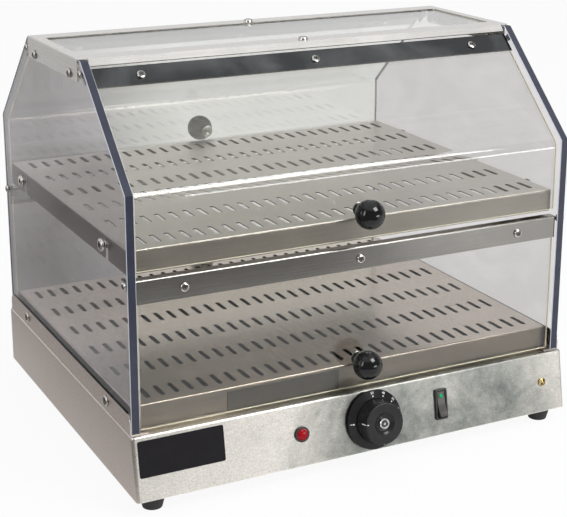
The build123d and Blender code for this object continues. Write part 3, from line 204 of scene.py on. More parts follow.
def cut_sheet(name, outline, holes, thickness, arris):
    """Flat sheet cut from an outline with drilled holes and broken arrises, in local XY."""
    drawn = bpy.data.curves.new(name, "CURVE")
    drawn.dimensions = "2D"
    drawn.fill_mode = "BOTH"
    drawn.extrude = thickness / 2 - arris
    drawn.bevel_depth = arris
    drawn.bevel_resolution = 0
    drawn.offset = -arris
    rings = [outline]
    rings += [[(x + px, y + py) for px, py in ring_points(radius, HOLE_SIDES)] for x, y, radius in holes]
    for ring in rings:
        spline = drawn.splines.new("POLY")
        spline.points.add(len(ring) - 1)
        for spot, (x, y) in zip(spline.points, ring):
            spot.co = (x, y, 0, 1)
        spline.use_cyclic_u = True
    holder = bpy.data.objects.new(name, drawn)
    mesh = bpy.data.meshes.new_from_object(holder)
    bpy.data.objects.remove(holder)
    bpy.data.curves.remove(drawn)
    bm = bmesh.new()
    bm.from_mesh(mesh)
    bpy.data.meshes.remove(mesh)
    bmesh.ops.remove_doubles(bm, verts=bm.verts, dist=1e-6)
    bmesh.ops.dissolve_degenerate(bm, edges=bm.edges, dist=1e-7)
    return bm


def standing_at(x):
    """Matrix that stands a sheet drawn in Y and Z upright, at a place on X."""
    return Matrix(((0, 0, 1, x), (1, 0, 0, 0), (0, 1, 0, 0), (0, 0, 0, 1)))


def cut_by(mesh, cutter):
    """The mesh with another mesh taken out of it."""
    body = bpy.data.objects.new("blank", mesh)
    tool = bpy.data.objects.new("tool", cutter)
    for made in (body, tool):
        bpy.context.scene.collection.objects.link(made)
    cut = body.modifiers.new("cut", "BOOLEAN")
    cut.operation = "DIFFERENCE"
    cut.object = tool
    bpy.context.view_layer.update()
    ready = body.evaluated_get(bpy.context.evaluated_depsgraph_get())
    left = bpy.data.meshes.new_from_object(ready)
    for made in (body, tool):
        bpy.data.objects.remove(made)
    bpy.data.meshes.remove(cutter)
    bpy.data.meshes.remove(mesh)
    return left


def looking_along(origin, out, up):
    """Matrix whose Z axis is out and whose Y axis is as near to up as it can be."""
    z = Vector(out).normalized()
    x = Vector(up).cross(z).normalized()
    y = z.cross(x)
    return Matrix.Translation(Vector(origin)) @ Matrix((x, y, z)).transposed().to_4x4()


def panel_place(joint):
    """Frame on the raked panel at a control: X right, Y up the panel, Z out of it."""
    if joint not in JOINTS:
        raise RuntimeError(f"the packed case has no joint named {joint}")
    spot = Vector(JOINTS[joint]["pos_m"])
    out = -Vector(JOINTS["dial_turn"]["axis"]).normalized()
    return Matrix.Translation(spot) @ Matrix((X_AXIS, out.cross(X_AXIS), out)).transposed().to_4x4()


def panel_place_over(node):
    """The same frame, moved along the panel to the middle of a CAD node."""
    low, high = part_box(node)
    place = panel_place("dial_turn")
    place.translation.x = (low.x + high.x) / 2
    return place


def pane_slope(acrylic):
    """Angle of the side panes' upper slope."""
    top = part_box("side_pane_left")[1]
    return math.atan2(top.z - acrylic.kink_height, top.y - acrylic.top_depth / 2)


# Shader nodes

def set_inputs(tree, node, inputs):
    """Sets or links each named input of a node."""
    for name, value in inputs.items():
        if isinstance(value, bpy.types.NodeSocket):
            tree.links.new(value, node.inputs[name])
        else:
            node.inputs[name].default_value = value


def add_node(tree, kind, settings=None, inputs=None):
    """Adds a node with its settings and its inputs."""
    made = tree.nodes.new(kind)
    for name, value in (settings or {}).items():
        setattr(made, name, value)
    set_inputs(tree, made, inputs or {})
    return made


def grey(level):
    return (level, level, level, 1)


def shade_of(colour, factor):
    return (*[min(1.0, part * factor) for part in colour[:3]], 1)


def maths(tree, operation, first, second=0.0):
    return add_node(tree, "ShaderNodeMath", {"operation": operation}, {0: first, 1: second}).outputs[0]


def times(tree, first, second):
    return maths(tree, "MULTIPLY", first, second)


def larger(tree, first, second):
    return maths(tree, "MAXIMUM", first, second)


def spread(tree, value, low, high, out_low=0.0, out_high=1.0):
    inputs = {0: value, 1: low, 2: high, 3: out_low, 4: out_high}
    return add_node(tree, "ShaderNodeMapRange", None, inputs).outputs[0]


def mixed_colour(tree, share, first, second, blend="MIX"):
    settings = {"data_type": "RGBA", "blend_type": blend}
    return add_node(tree, "ShaderNodeMix", settings, {0: share, 6: first, 7: second}).outputs[2]


def mixed_value(tree, share, first, second):
    return add_node(tree, "ShaderNodeMix", {"data_type": "FLOAT"}, {0: share, 2: first, 3: second}).outputs[0]


def mixed_shader(tree, share, first, second):
    return add_node(tree, "ShaderNodeMixShader", None, {0: share, 1: first, 2: second}).outputs[0]


def object_spot(tree):
    return tree.nodes.new("ShaderNodeTexCoord").outputs["Object"]


def parts_of(tree, vector):
    return add_node(tree, "ShaderNodeSeparateXYZ", None, {0: vector}).outputs


def scaled(tree, vector, by):
    return add_node(tree, "ShaderNodeVectorMath", {"operation": "MULTIPLY"}, {0: vector, 1: by}).outputs[0]


def noise(tree, vector, scale, detail, roughness=0.5, distortion=0.0):
    return add_node(tree, "ShaderNodeTexNoise", None, {
        "Vector": vector, "Scale": scale, "Detail": detail, "Roughness": roughness, "Distortion": distortion,
    }).outputs[0]


def bumped(tree, height, strength, distance):
    inputs = {"Strength": strength, "Distance": distance, "Height": height}
    return add_node(tree, "ShaderNodeBump", None, inputs).outputs[0]


def new_group(name, inputs, outputs):
    """Empty shader group, the sockets that carry its inputs and those that take its results."""
    group = bpy.data.node_groups.new(name, "ShaderNodeTree")
    for label, kind, default in inputs:
        group.interface.new_socket(label, in_out="INPUT", socket_type=kind).default_value = default
    for label, kind in outputs:
        group.interface.new_socket(label, in_out="OUTPUT", socket_type=kind)
    return group, group.nodes.new("NodeGroupInput").outputs, group.nodes.new("NodeGroupOutput").inputs


def brushing_group():
    """Brushed lines, level on upright faces and along X on flat ones, with clouds, a patch of painted shade
    on the front, and painted shading by face direction.
    """
    if "Brushed lines" in bpy.data.node_groups:
        return bpy.data.node_groups["Brushed lines"]
    group, asked, result = new_group(
        "Brushed lines",
        [
            ("Colour", COLOUR, grey(0.5)), ("Streak", COLOUR, grey(0.4)),
            ("Cloud", COLOUR, grey(0.6)), ("Cloud Share", NUMBER, 0.3),
            ("Painted Shade", COLOUR, grey(0.3)), ("Painted Shade Share", NUMBER, 0.0),
            ("Painted Shade Centre", NUMBER, 0.0), ("Painted Shade Reach", NUMBER, 1.0), ("Grain Share", NUMBER, 0.0),
            ("Painted Wall Shading", COLOUR, grey(1)), ("Painted Side Shading", COLOUR, grey(1)),
            ("Roughness", NUMBER, 0.3), ("Roughness Spread", NUMBER, 0.12), ("Wall Dulling", NUMBER, 0.0),
            ("Wall Lines", VECTOR, (14, 14, 2200)), ("Flat Lines", VECTOR, (14, 2200, 14)),
        ],
        [("Colour", COLOUR), ("Roughness", NUMBER), ("Height", NUMBER)],
    )
    where = group.nodes.new("ShaderNodeTexCoord").outputs
    spot, facing = parts_of(group, where["Object"]), parts_of(group, where["Normal"])
    flat = maths(group, "GREATER_THAN", maths(group, "ABSOLUTE", facing["Z"]), SQUARELY)
    upright = maths(group, "SUBTRACT", 1.0, flat)
    sideways = maths(group, "GREATER_THAN", maths(group, "ABSOLUTE", facing["X"]), SQUARELY)

    wall_line, flat_line = [
        noise(group, scaled(group, where["Object"], asked[run]), 1.0, 4.0, 0.65)
        for run in ("Wall Lines", "Flat Lines")
    ]
    line = mixed_value(group, flat, wall_line, flat_line)
    marks = noise(group, where["Object"], 13.0, 5.0, 0.55, 0.6)
    cloud = times(group, spread(group, marks, 0.42, 0.66), asked["Cloud Share"])
    streaked = mixed_colour(group, spread(group, line, 0.3, 0.7), asked["Streak"], asked["Colour"])
    clouded = mixed_colour(group, cloud, streaked, asked["Cloud"])

    # Painted shade: a mottled dark patch, in place of a dimmer reflection, gathers about its centre and stays
    # on the front of the case
    broad = noise(group, where["Object"], 15.0, 10.0, 0.72, 0.3)
    away = maths(group, "ABSOLUTE", maths(group, "SUBTRACT", spot["X"], asked["Painted Shade Centre"]))
    nearness = spread(group, away, times(group, asked["Painted Shade Reach"], 0.4), asked["Painted Shade Reach"], 0.12, -0.3)
    gathered = maths(group, "ADD", spread(group, broad, 0.0, 1.0, 0.18, 0.82), nearness)
    ahead = times(group, spread(group, spot["Y"], -0.17, -0.12, 1.0, 0.0), asked["Painted Shade Share"])
    painted_shade = times(group, spread(group, gathered, 0.31, 0.7), ahead)
    shade_painted = mixed_colour(group, painted_shade, clouded, asked["Painted Shade"])

    # Painted shading: upright faces, and faces looking along X, are multiplied by their own tones, light and
    # shade by face direction
    walled = mixed_colour(group, upright, shade_painted, asked["Painted Wall Shading"], "MULTIPLY")
    sided = mixed_colour(group, sideways, walled, asked["Painted Side Shading"], "MULTIPLY")
    speck = spread(group, noise(group, where["Object"], 620.0, 2.0), 0.3, 0.7, 0.5, 1.35)
    grained = mixed_colour(group, asked["Grain Share"], sided, speck, "MULTIPLY")
    unevenness = maths(group, "SUBTRACT", maths(group, "ADD", line, marks), 1.0)
    wander = times(group, unevenness, asked["Roughness Spread"])
    dulled = maths(group, "ADD", wander, times(group, upright, asked["Wall Dulling"]))
    group.links.new(grained, result["Colour"])
    group.links.new(maths(group, "ADD", asked["Roughness"], dulled), result["Roughness"])
    group.links.new(line, result["Height"])
    return group


def edge_rub_and_glint_group():
    """Mask of the bends and cut edges, where sheet and mouldings take a lighter colour: patchy rubbed wear
    and a painted highlight.
    """
    if "Edge rub and glint" in bpy.data.node_groups:
        return bpy.data.node_groups["Edge rub and glint"]
    group, asked, result = new_group(
        "Edge rub and glint", [("Width", NUMBER, 0.001), ("Strength", NUMBER, 3.0)], [("Mask", NUMBER)]
    )
    true_facing = group.nodes.new("ShaderNodeNewGeometry").outputs["Normal"]
    eased = add_node(group, "ShaderNodeBevel", {"samples": 4}, {"Radius": asked["Width"]}).outputs[0]
    agree = add_node(
        group, "ShaderNodeVectorMath", {"operation": "DOT_PRODUCT"}, {0: eased, 1: true_facing}
    ).outputs["Value"]
    rubbed = times(group, maths(group, "SUBTRACT", 1.0, agree), asked["Strength"])
    broken = noise(group, object_spot(group), 160.0, 3.0)
    patchy = times(group, rubbed, spread(group, broken, 0.3, 0.6, 0.5, 1.0))
    group.links.new(spread(group, patchy, 0.0, 1.0), result["Mask"])
    return group


def grain_group():
    """Fine moulded grain: a height, and a shade and a roughness that wander broadly."""
    if "Moulded grain" in bpy.data.node_groups:
        return bpy.data.node_groups["Moulded grain"]
    group, asked, result = new_group(
        "Moulded grain",
        [
            ("Colour", COLOUR, grey(0.02)), ("Worn Colour", COLOUR, grey(0.05)), ("Roughness", NUMBER, 0.3),
            ("Roughness Spread", NUMBER, 0.1), ("Grain Scale", NUMBER, 1500.0),
        ],
        [("Colour", COLOUR), ("Roughness", NUMBER), ("Height", NUMBER)],
    )
    where = object_spot(group)
    fine = noise(group, where, asked["Grain Scale"], 3.0)
    broad = noise(group, where, 60.0, 5.0, 0.6)
    worn = mixed_colour(group, spread(group, broad, 0.4, 0.75), asked["Colour"], asked["Worn Colour"])
    wander = times(group, maths(group, "SUBTRACT", broad, 0.5), asked["Roughness Spread"])
    group.links.new(worn, result["Colour"])
    group.links.new(maths(group, "ADD", asked["Roughness"], wander), result["Roughness"])
    group.links.new(fine, result["Height"])
    return group


def smear_group():
    """Wiping marks on acrylic: a faint tint change and a slightly dulled polish."""
    if "Wiped acrylic" in bpy.data.node_groups:
        return bpy.data.node_groups["Wiped acrylic"]
    group, asked, result = new_group(
        "Wiped acrylic",
        [
            ("Tint", COLOUR, grey(0.9)), ("Smear Tint", COLOUR, grey(0.85)),
            ("Polish", NUMBER, 0.0), ("Dulled", NUMBER, 0.03),
        ],
        [("Tint", COLOUR), ("Roughness", NUMBER)],
    )
    marks = noise(group, scaled(group, object_spot(group), (5.0, 9.0, 16.0)), 1.0, 6.0, 0.6, 0.9)
    share = spread(group, marks, 0.45, 0.7)
    group.links.new(mixed_colour(group, share, asked["Tint"], asked["Smear Tint"]), result["Tint"])
    group.links.new(mixed_value(group, share, asked["Polish"], asked["Dulled"]), result["Roughness"])
    return group


# Finishes, each built once

def new_finish(name):
    """New material, its node tree and its Principled node."""
    finish = bpy.data.materials.new(name)
    finish.use_nodes = True
    return finish, finish.node_tree, finish.node_tree.nodes["Principled BSDF"]


def from_group(tree, group, inputs):
    """Outputs of a shared effect placed in a material with its own values."""
    return add_node(tree, "ShaderNodeGroup", {"node_tree": group}, inputs).outputs


def brushed(name, colour, roughness, wander=0.1, cloud=0.25, lift=1.25, rub=0.0009, grain=0.06,
            bend=(0.86, 0.83, 0.77), wall=(14, 14, 2200), painted_wall_shading=(1, 1, 1), wall_dulling=0.0,
            painted_side_shading=(1, 1, 1), painted_shade=(0.3, 0.3, 0.3), painted_shade_share=0.0, painted_shade_centre=0.0, painted_shade_reach=1.0,
            slotted=None, gap_shadow_above=None):
    """Brushed sheet steel in one colour, with a painted highlight along its bends and cut edges (painted
    shade where the bend colour is dark), patchy like rubbed wear.

    slotted is the half size of the part whose slot rims take painted shadow; gap_shadow_above is the height
    from which the sheet takes painted shadow of the gap under the pane.
    """
    if name in bpy.data.materials:
        return bpy.data.materials[name]
    finish, tree, surface = new_finish(name)
    lines = from_group(tree, brushing_group(), {
        "Colour": shade_of(colour, 1.06), "Streak": shade_of(colour, 0.86), "Cloud": shade_of(colour, lift),
        "Cloud Share": cloud, "Roughness": roughness, "Roughness Spread": wander, "Wall Lines": wall,
        "Painted Shade": (*painted_shade, 1), "Painted Shade Share": painted_shade_share, "Painted Shade Centre": painted_shade_centre,
        "Painted Shade Reach": painted_shade_reach, "Grain Share": grain, "Painted Wall Shading": (*painted_wall_shading, 1),
        "Painted Side Shading": (*painted_side_shading, 1), "Wall Dulling": wall_dulling,
    })
    edge = from_group(tree, edge_rub_and_glint_group(), {"Width": rub, "Strength": 2.5})
    spot = parts_of(tree, object_spot(tree))
    # Painted along bends and cut edges: a highlight where the bend colour is light, shade where it is dark
    rim = (*bend, 1)
    # Inside this area the slot rims take painted shadow
    if slotted:
        inside = [
            maths(tree, "LESS_THAN", maths(tree, "ABSOLUTE", spot[axis]), half)
            for axis, half in zip("XY", slotted)
        ]
        rim = mixed_colour(tree, times(tree, *inside), rim, shade_of(colour, 0.2))
    bright = mixed_colour(tree, edge["Mask"], lines["Colour"], rim)
    # Painted shadow of the gap between the rail's top and the pane
    if gap_shadow_above:
        gap_shadow = maths(tree, "GREATER_THAN", spot["Z"], gap_shadow_above)
        bright = mixed_colour(tree, gap_shadow, bright, shade_of(colour, 0.02))
    set_inputs(tree, surface, {
        "Base Color": bright, "Roughness": lines["Roughness"], "Metallic": 1.0,
        "Normal": bumped(tree, lines["Height"], 0.12, 0.0002),
    })
    return finish


def moulded(name, colour, roughness, worn, grain, bump=0.05, coat=0.0, wander=0.12, metal=0.0, gloss=0.5):
    """Moulded plastic, rubber or plated metal with fine grain and lighter edges."""
    if name in bpy.data.materials:
        return bpy.data.materials[name]
    finish, tree, surface = new_finish(name)
    skin = from_group(tree, grain_group(), {
        "Colour": shade_of(colour, 1), "Worn Colour": shade_of(colour, 1 + (worn - 1) * 0.35),
        "Roughness": roughness, "Roughness Spread": wander, "Grain Scale": grain,
    })
    edge = from_group(tree, edge_rub_and_glint_group(), {"Width": 0.0005, "Strength": 1.2})
    set_inputs(tree, surface, {
        "Base Color": mixed_colour(tree, edge["Mask"], skin["Colour"], shade_of(colour, worn)),
        "Roughness": skin["Roughness"], "Metallic": metal, "Specular IOR Level": gloss,
        "Coat Weight": coat, "Coat Roughness": 0.06,
        "Normal": bumped(tree, skin["Height"], bump, 0.0001),
    })
    return finish


def lens_finish(name, tint):
    """Coloured lens, softly glossy, with patches of darker depth."""
    if name in bpy.data.materials:
        return bpy.data.materials[name]
    finish, tree, surface = new_finish(name)
    skin = from_group(tree, grain_group(), {
        "Colour": shade_of(tint, 0.75), "Worn Colour": shade_of(tint, 1.35), "Roughness": 0.12,
        "Roughness Spread": 0.08, "Grain Scale": 260.0,
    })
    set_inputs(tree, surface, {
        "Base Color": skin["Colour"], "Roughness": skin["Roughness"], "Specular IOR Level": 0.15,
        "Coat Weight": 0.12, "Coat Roughness": 0.03,
        "Normal": bumped(tree, skin["Height"], 0.15, 0.0002),
    })
    return finish


def clear_acrylic(name, tint, smear, dulled, shadow, bending):
    """See-through acrylic that lets the lamps through to what is behind it."""
    if name in bpy.data.materials:
        return bpy.data.materials[name]
    finish, tree, surface = new_finish(name)
    wiped = from_group(tree, smear_group(), {
        "Tint": shade_of(tint, 1), "Smear Tint": shade_of(tint, smear), "Polish": 0.0, "Dulled": dulled,
    })
    set_inputs(tree, surface, {
        "Base Color": wiped["Tint"], "Roughness": wiped["Roughness"],
        "Transmission Weight": 1.0, "IOR": bending,
    })
    passing = add_node(tree, "ShaderNodeBsdfTransparent", None, {"Color": (*shadow, 1)}).outputs[0]
    in_shadow = tree.nodes.new("ShaderNodeLightPath").outputs["Is Shadow Ray"]
    both = mixed_shader(tree, in_shadow, surface.outputs[0], passing)
    tree.links.new(both, tree.nodes["Material Output"].inputs["Surface"])
    return finish


def side_acrylic(acrylic, hand):
    # The left pane's tint is darker than the right's: painted shade
    tint = {"left": acrylic.left_shaded_tint, "right": acrylic.right_tint}[hand]
    return clear_acrylic(f"{hand}_side_acrylic", tint, 1.08, 0.01, (0.72, 0.71, 0.75), 1.42)


def flap_acrylic(acrylic, end):
    bending = {"front": 1.45, "rear": 1.75}[end]
    return clear_acrylic(f"{end}_flap_acrylic", acrylic.flap_tint, 0.96, 0.008, (0.93, 0.93, 0.92), bending)


def flap_edge(acrylic):
    return moulded("flap_acrylic_edge", acrylic.flap_edge, 0.22, worn=1.25, grain=300.0, bump=0.02, coat=0.8)


def bright_screw(sizes):
    return moulded("bright_screw_steel", sizes.bright, 0.13, worn=1.1, grain=900.0, bump=0.02, wander=0.08,
                   metal=1.0)


# Painted shade for drive recesses, grooves and the undersides of screw rims
def painted_recess_shade():
    return moulded("screw_recess", (0.03, 0.028, 0.026), 0.55, worn=1.5, grain=900.0)


def control_black(controls):
    return moulded("control_black", controls.black, 0.34, worn=2.6, grain=2600.0, bump=0.08)


def dress(finish, *nodes):
    """Gives CAD nodes a finish in place of the one they came with."""
    for node in nodes:
        if node not in frame["nodes"]:
            raise RuntimeError(f"the packed case has no node named {node}")
        for place in frame["nodes"][node].material_slots:
            place.material = finish


# What a user would change

def length(name, description, value):
    return FloatProperty(name=name, description=description, default=value, unit="LENGTH", subtype="DISTANCE")


def colour(name, description, value):
    return FloatVectorProperty(
        name=name, description=description, default=value, size=3, min=0.0, max=1.0, subtype="COLOR"
    )


def factor(name, description, value):
    return FloatProperty(
        name=name, description=description, default=value, min=0.0, max=1.0, subtype="FACTOR"
    )


def power(name, description, value):
    return FloatProperty(name=name, description=description, default=value, unit="POWER")


class SheetSettings(PropertyGroup):
    """Colours and polish of the sheet steel"""

    casing: colour("Casing", "Colour of the base casing", (0.73, 0.7, 0.65))
    # Painted shade: a darker mottled patch on the front of the casing
    painted_shade: colour("Painted Shade", "Colour of the painted shade patch on the front of the casing", (0.14, 0.154, 0.143))
    rails: colour("Rails", "Colour of the strips outside the panes", (0.66, 0.61, 0.575))
    shelf: colour("Shelf", "Colour of the upper shelf", (0.632, 0.603, 0.558))
    tray: colour("Tray", "Colour of the lower tray", (0.69, 0.62, 0.55))
    cover: colour("Cover", "Colour of the top cover", (0.66, 0.645, 0.62))
    # The leaves are darkened with painted shade, the upper ones most
    upper_leaves_shaded: colour("Upper leaves, shaded", "Colour of the upper flaps' steel leaves, darkened as painted shade", (0.058, 0.061, 0.063))
    lower_leaves_shaded: colour("Lower leaves, shaded", "Colour of the lower flaps' steel leaves, darkened as painted shade", (0.33, 0.319, 0.3))
    pan: colour("Heat pan", "Colour of the heat pan and its strips", (0.16, 0.15, 0.135))
    roughness: factor("Roughness", "Roughness of the brushed sheet", 0.3)


class AcrylicSettings(PropertyGroup):
    """Sizes and tints of the acrylic panes"""

    kink_height: length("Kink height", "Height above the floor where the side panes turn", 0.313)
    top_depth: length("Top depth", "Depth of the side panes at the top", 0.168)
    corner: length("Corner", "Radius of the side panes' top corners", 0.004)
    flap_thickness: length("Flap thickness", "Thickness of the flap panes", 0.004)
    flap_bend: length("Flap bend", "Radius of the upper flaps' bend, at mid thickness", 0.014)
    arris: length("Arris", "Width of the broken edges", 0.0006)
    # The left tint is darker than the right tint as painted shade
    left_shaded_tint: colour("Left shaded tint", "Tint of the left side pane, darker than the right one as painted shade", (0.72, 0.7, 0.725))
    right_tint: colour("Right tint", "Tint of the right side pane", (0.76, 0.745, 0.75))
    side_edge: colour("Side edge", "Colour of the side panes' polished edges", (0.03, 0.034, 0.052))
    flap_tint: colour("Flap tint", "Tint of the flap panes and the top sheet", (0.83, 0.832, 0.815))
    flap_edge: colour("Flap edge", "Colour of the flap panes' edges", (0.8, 0.745, 0.56))


class FastenerSettings(PropertyGroup):
    """Sizes and colours of screws and studs"""

    head: length("Head", "Diameter of the pan heads", 0.009)
    pivot_head: length("Pivot head", "Diameter of the pivot screws' heads", 0.008)
    stud_head: length("Stud head", "Diameter of the shelf studs' heads", 0.0125)
    dome: length("Dome", "Diameter of the dome screws on the cover", 0.011)
    shank: length("Shank", "Diameter of the screws' shanks", 0.004)
    bright: colour("Bright steel", "Colour of the bright screws", (0.68, 0.665, 0.63))
    brass: colour("Brass", "Colour of the earth screw", (0.72, 0.53, 0.22))


class ControlSettings(PropertyGroup):
    """Colours and sizes of the knobs and the controls"""

    ball: length("Ball", "Diameter of the ball knobs", 0.030)
    collar: length("Collar", "Diameter of the ball knobs' collars", 0.014)
    dial: length("Dial", "Diameter of the dial's skirt", 0.062)
    first_mark: IntProperty(name="First mark", description="Lowest temperature on the dial", default=30)
    last_mark: IntProperty(name="Last mark", description="Highest temperature on the dial", default=90)
    black: colour("Black", "Colour of the black mouldings", (0.013, 0.013, 0.014))
    print_white: colour("Print", "Colour of the dial's figures", (0.8, 0.8, 0.78))
    lamp_red: colour("Lamp", "Colour of the pilot lamp's lens", (0.31, 0.004, 0.009))
    lens_green: colour("Switch lens", "Colour of the lens in the rocker", (0.01, 0.32, 0.13))


class StageSettings(PropertyGroup):
    """Floor, lamps and camera"""

    floor: colour("Floor", "Colour of the floor", (0.68, 0.68, 0.68))
    key_power: power("Key lamp", "Power of the key lamp", 42.0)
    fill_power: power("Fill lamp", "Power of the fill lamp", 9.0)
    front_power: power("Front lamp", "Power of the front lamp", 7.0)
    lens: FloatProperty(name="Lens", description="Focal length of the camera, in millimetres", default=90.08)


# Operators, one for each piece or group of like pieces, with the makers that they use

class CASE_OT_sheet_steel(Operator):
    """Dress the folded sheet: casing, rails, cover, leaves, trays and plates"""

    bl_idname = "display_case.sheet_steel"
    bl_label = "Sheet steel"

    def execute(self, context):
        sheet = context.scene.case_sheet
        rough = sheet.roughness
        # The casing: a painted highlight along its bends, painted shade on its sides and a patch of painted
        # shade on its front
        casing = brushed("casing_sheet", sheet.casing, rough, cloud=0.15, rub=0.0014, grain=0.3,
                         bend=(1.0, 0.97, 0.9), wall=(160, 160, 1500), painted_side_shading=(0.91, 0.83, 0.82),
                         painted_shade=sheet.painted_shade, painted_shade_share=1.0, painted_shade_centre=0.085, painted_shade_reach=0.24)
        dress(casing, "base_casing")
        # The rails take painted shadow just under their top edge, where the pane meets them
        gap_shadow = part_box("pane_rail_left")[1].z - 0.0008
        rails = brushed("rail_sheet", sheet.rails, rough, grain=0.35, painted_side_shading=(1.0, 0.935, 0.905),
                        gap_shadow_above=gap_shadow)
        dress(rails, "pane_rail_left", "pane_rail_right")
        # The cover's bends and edges take painted shade, and its walls painted shading
        cover = brushed("cover_sheet", sheet.cover, rough * 0.9, bend=(0.2, 0.18, 0.15),
                        painted_wall_shading=(0.86, 0.85, 0.83))
        dress(cover, "top_cover")
        # Node, finish name, colour, polish, wall dulling, painted wall shading and painted side shading
        # (light and shade by face direction)
        for node, name, tone, polish, dulling, painted_wall_shading, painted_side_shading in (
            ("upper_shelf", "shelf_sheet", sheet.shelf, 1.1, 0.0, (0.41, 0.397, 0.38), (0.993, 0.863, 0.814)),
            ("lower_tray", "tray_sheet", sheet.tray, 0.7, 0.13, (0.32, 0.307, 0.29), (1.633, 1.594, 1.598)),
        ):
            # Slot rims inside this area take painted shadow
            slotted = [side - TRAY_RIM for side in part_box(node)[1][:2]]
            dress(brushed(name, tone, rough * polish, cloud=0.2, wall=(10, 10, 900), painted_wall_shading=painted_wall_shading,
                          wall_dulling=dulling, painted_side_shading=painted_side_shading, slotted=slotted), node)
        # The front plate is the tray's steel darkened as painted shade, with darker painted bends
        plate = brushed("tray_plate_sheet", shade_of(sheet.tray, 0.145), rough, bend=(0.1, 0.09, 0.075))
        dress(plate, "tray_front_plate")
        # The leaves' steel is darkened with painted shade, the upper leaves most; their bends take a dimmer
        # painted highlight
        for tier, tone, cloud, lift in (
            ("upper", sheet.upper_leaves_shaded, 0.65, 2.6), ("lower", sheet.lower_leaves_shaded, 0.4, 0.7),
        ):
            leaf = brushed(f"{tier}_leaf_sheet", tone, rough * 0.6, wander=0.06, cloud=cloud, lift=lift,
                           bend=(0.5, 0.46, 0.38))
            dress(leaf, f"front_{tier}_leaf", f"rear_{tier}_leaf")
        dress(brushed("bottom_sheet", shade_of(sheet.casing, 0.65), rough * 1.4, cloud=0.5), "bottom_plate")
        return {"FINISHED"}


def screw_line(node):
    """Distance along Y and height of a row of like screws that go in from the sides."""
    low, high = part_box(node)
    return high.y - (high.z - low.z) / 2, (low.z + high.z) / 2


class CASE_OT_side_panes(Operator):
    """Cut the two side panes with their holes, polished edges and broken arrises"""

    bl_idname = "display_case.side_panes"
    bl_label = "Side panes"

    def execute(self, context):
        acrylic = context.scene.case_acrylic
        edge = moulded("side_acrylic_edge", acrylic.side_edge, 0.2, worn=1.8, grain=300.0, bump=0.02,
                       gloss=0.35)
        arris = moulded("side_acrylic_arris", (0.52, 0.54, 0.62), 0.35, worn=1.3, grain=400.0)
        bores = [
            (*screw_line(node), radius)
            for node, radius in (
                ("rail_screws", SCREW_BORE), ("cover_screws", SCREW_BORE), ("shelf_studs", STUD_BORE),
            )
        ]
        for joint in ("front_upper_hinge", "front_lower_hinge"):
            pivot = JOINTS[joint]["pos_m"]
            bores.append((abs(pivot[1]), pivot[2], PIVOT_BORE))
        holes = [(way * reach, height, radius) for reach, height, radius in bores for way in (1, -1)]
        for hand in ("left", "right"):
            name = f"{hand}_side_sheet"
            low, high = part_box(f"side_pane_{hand}")
            deep, top, kink = high.y, acrylic.top_depth / 2, acrylic.kink_height
            outline = rounded_path(
                [(-deep, low.z), (deep, low.z), (deep, kink), (top, high.z), (-top, high.z), (-deep, kink)],
                [0, 0, 0, acrylic.corner, acrylic.corner, 0],
            )
            bm = cut_sheet(name, outline, holes, high.x - low.x - 2 * HAIR, acrylic.arris)
            for side in bm.faces:
                lean = abs(side.normal.z)
                side.material_index = 0 if lean > 0.95 else 1 if lean < 0.3 else 2
            piece(name, smooth_mesh(bm, name, 30), [side_acrylic(acrylic, hand), edge, arris], "case",
                  [f"side_pane_{hand}"], standing_at((low.x + high.x) / 2))
        return {"FINISHED"}


def bent_section(acrylic, pivot, far, foot):
    """Section of an upper flap's pane: down the slope from the pivot, round the bend, straight down."""
    half = acrylic.flap_thickness / 2 - HAIR
    slope = pane_slope(acrylic)
    out = far - half - HAIR
    drop = Vector((math.cos(slope), -math.sin(slope)))
    across = Vector((math.sin(slope), math.cos(slope))) * half
    start = Vector((abs(pivot[1]), pivot[2])) + drop * PANE_START
    corner = Vector((out, pivot[2] - (out - abs(pivot[1])) * math.tan(slope)))
    mitre = Vector((half, half * math.tan((math.radians(90) - slope) / 2)))
    end, beside = Vector((out, foot)), Vector((half, 0))
    outer = [start + across, corner + mitre, end + beside]
    inner = [start - across, corner - mitre, end - beside]
    radii = [0, acrylic.flap_bend + half, 0, 0, acrylic.flap_bend - half, 0]
    return rounded_path([tuple(p) for p in outer + inner[::-1]], radii, 16)


class CASE_OT_flap_panes(Operator):
    """Bend and cut the four clear flap panes"""

    bl_idname = "display_case.flap_panes"
    bl_label = "Flap panes"

    def execute(self, context):
        acrylic = context.scene.case_acrylic
        for flap, way, tier, end in FLAPS:
            name = f"{flap}_clear_flap"
            low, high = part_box(f"{flap}_pane")
            near, far = sorted((abs(low.y), abs(high.y)))
            if tier == "upper":
                ring = bent_section(acrylic, JOINTS[f"{flap}_hinge"]["pos_m"], far, low.z)
                head = high.z - SLANTED_EDGE
            else:
                far, near = far - HAIR, near + HAIR
                ring = [(far, high.z), (far, low.z), (near, low.z), (near, high.z)]
                head = high.z - FLAP_EDGE
            foot = low.z + FLAP_EDGE
            bm = cut_sheet(name, [(way * y, z) for y, z in ring], [], high.x - low.x, acrylic.arris * 0.6)
            for side in bm.faces:
                level = side.calc_center_median().y
                under = level < foot and abs(side.normal.y) > 0.5
                side.material_index = 1 if abs(side.normal.z) > 0.3 or under or level > head else 0
            piece(name, smooth_mesh(bm, name, 30), [flap_acrylic(acrylic, end), flap_edge(acrylic)],
                  f"{flap}_flap", [f"{flap}_pane"], standing_at((low.x + high.x) / 2))
        return {"FINISHED"}


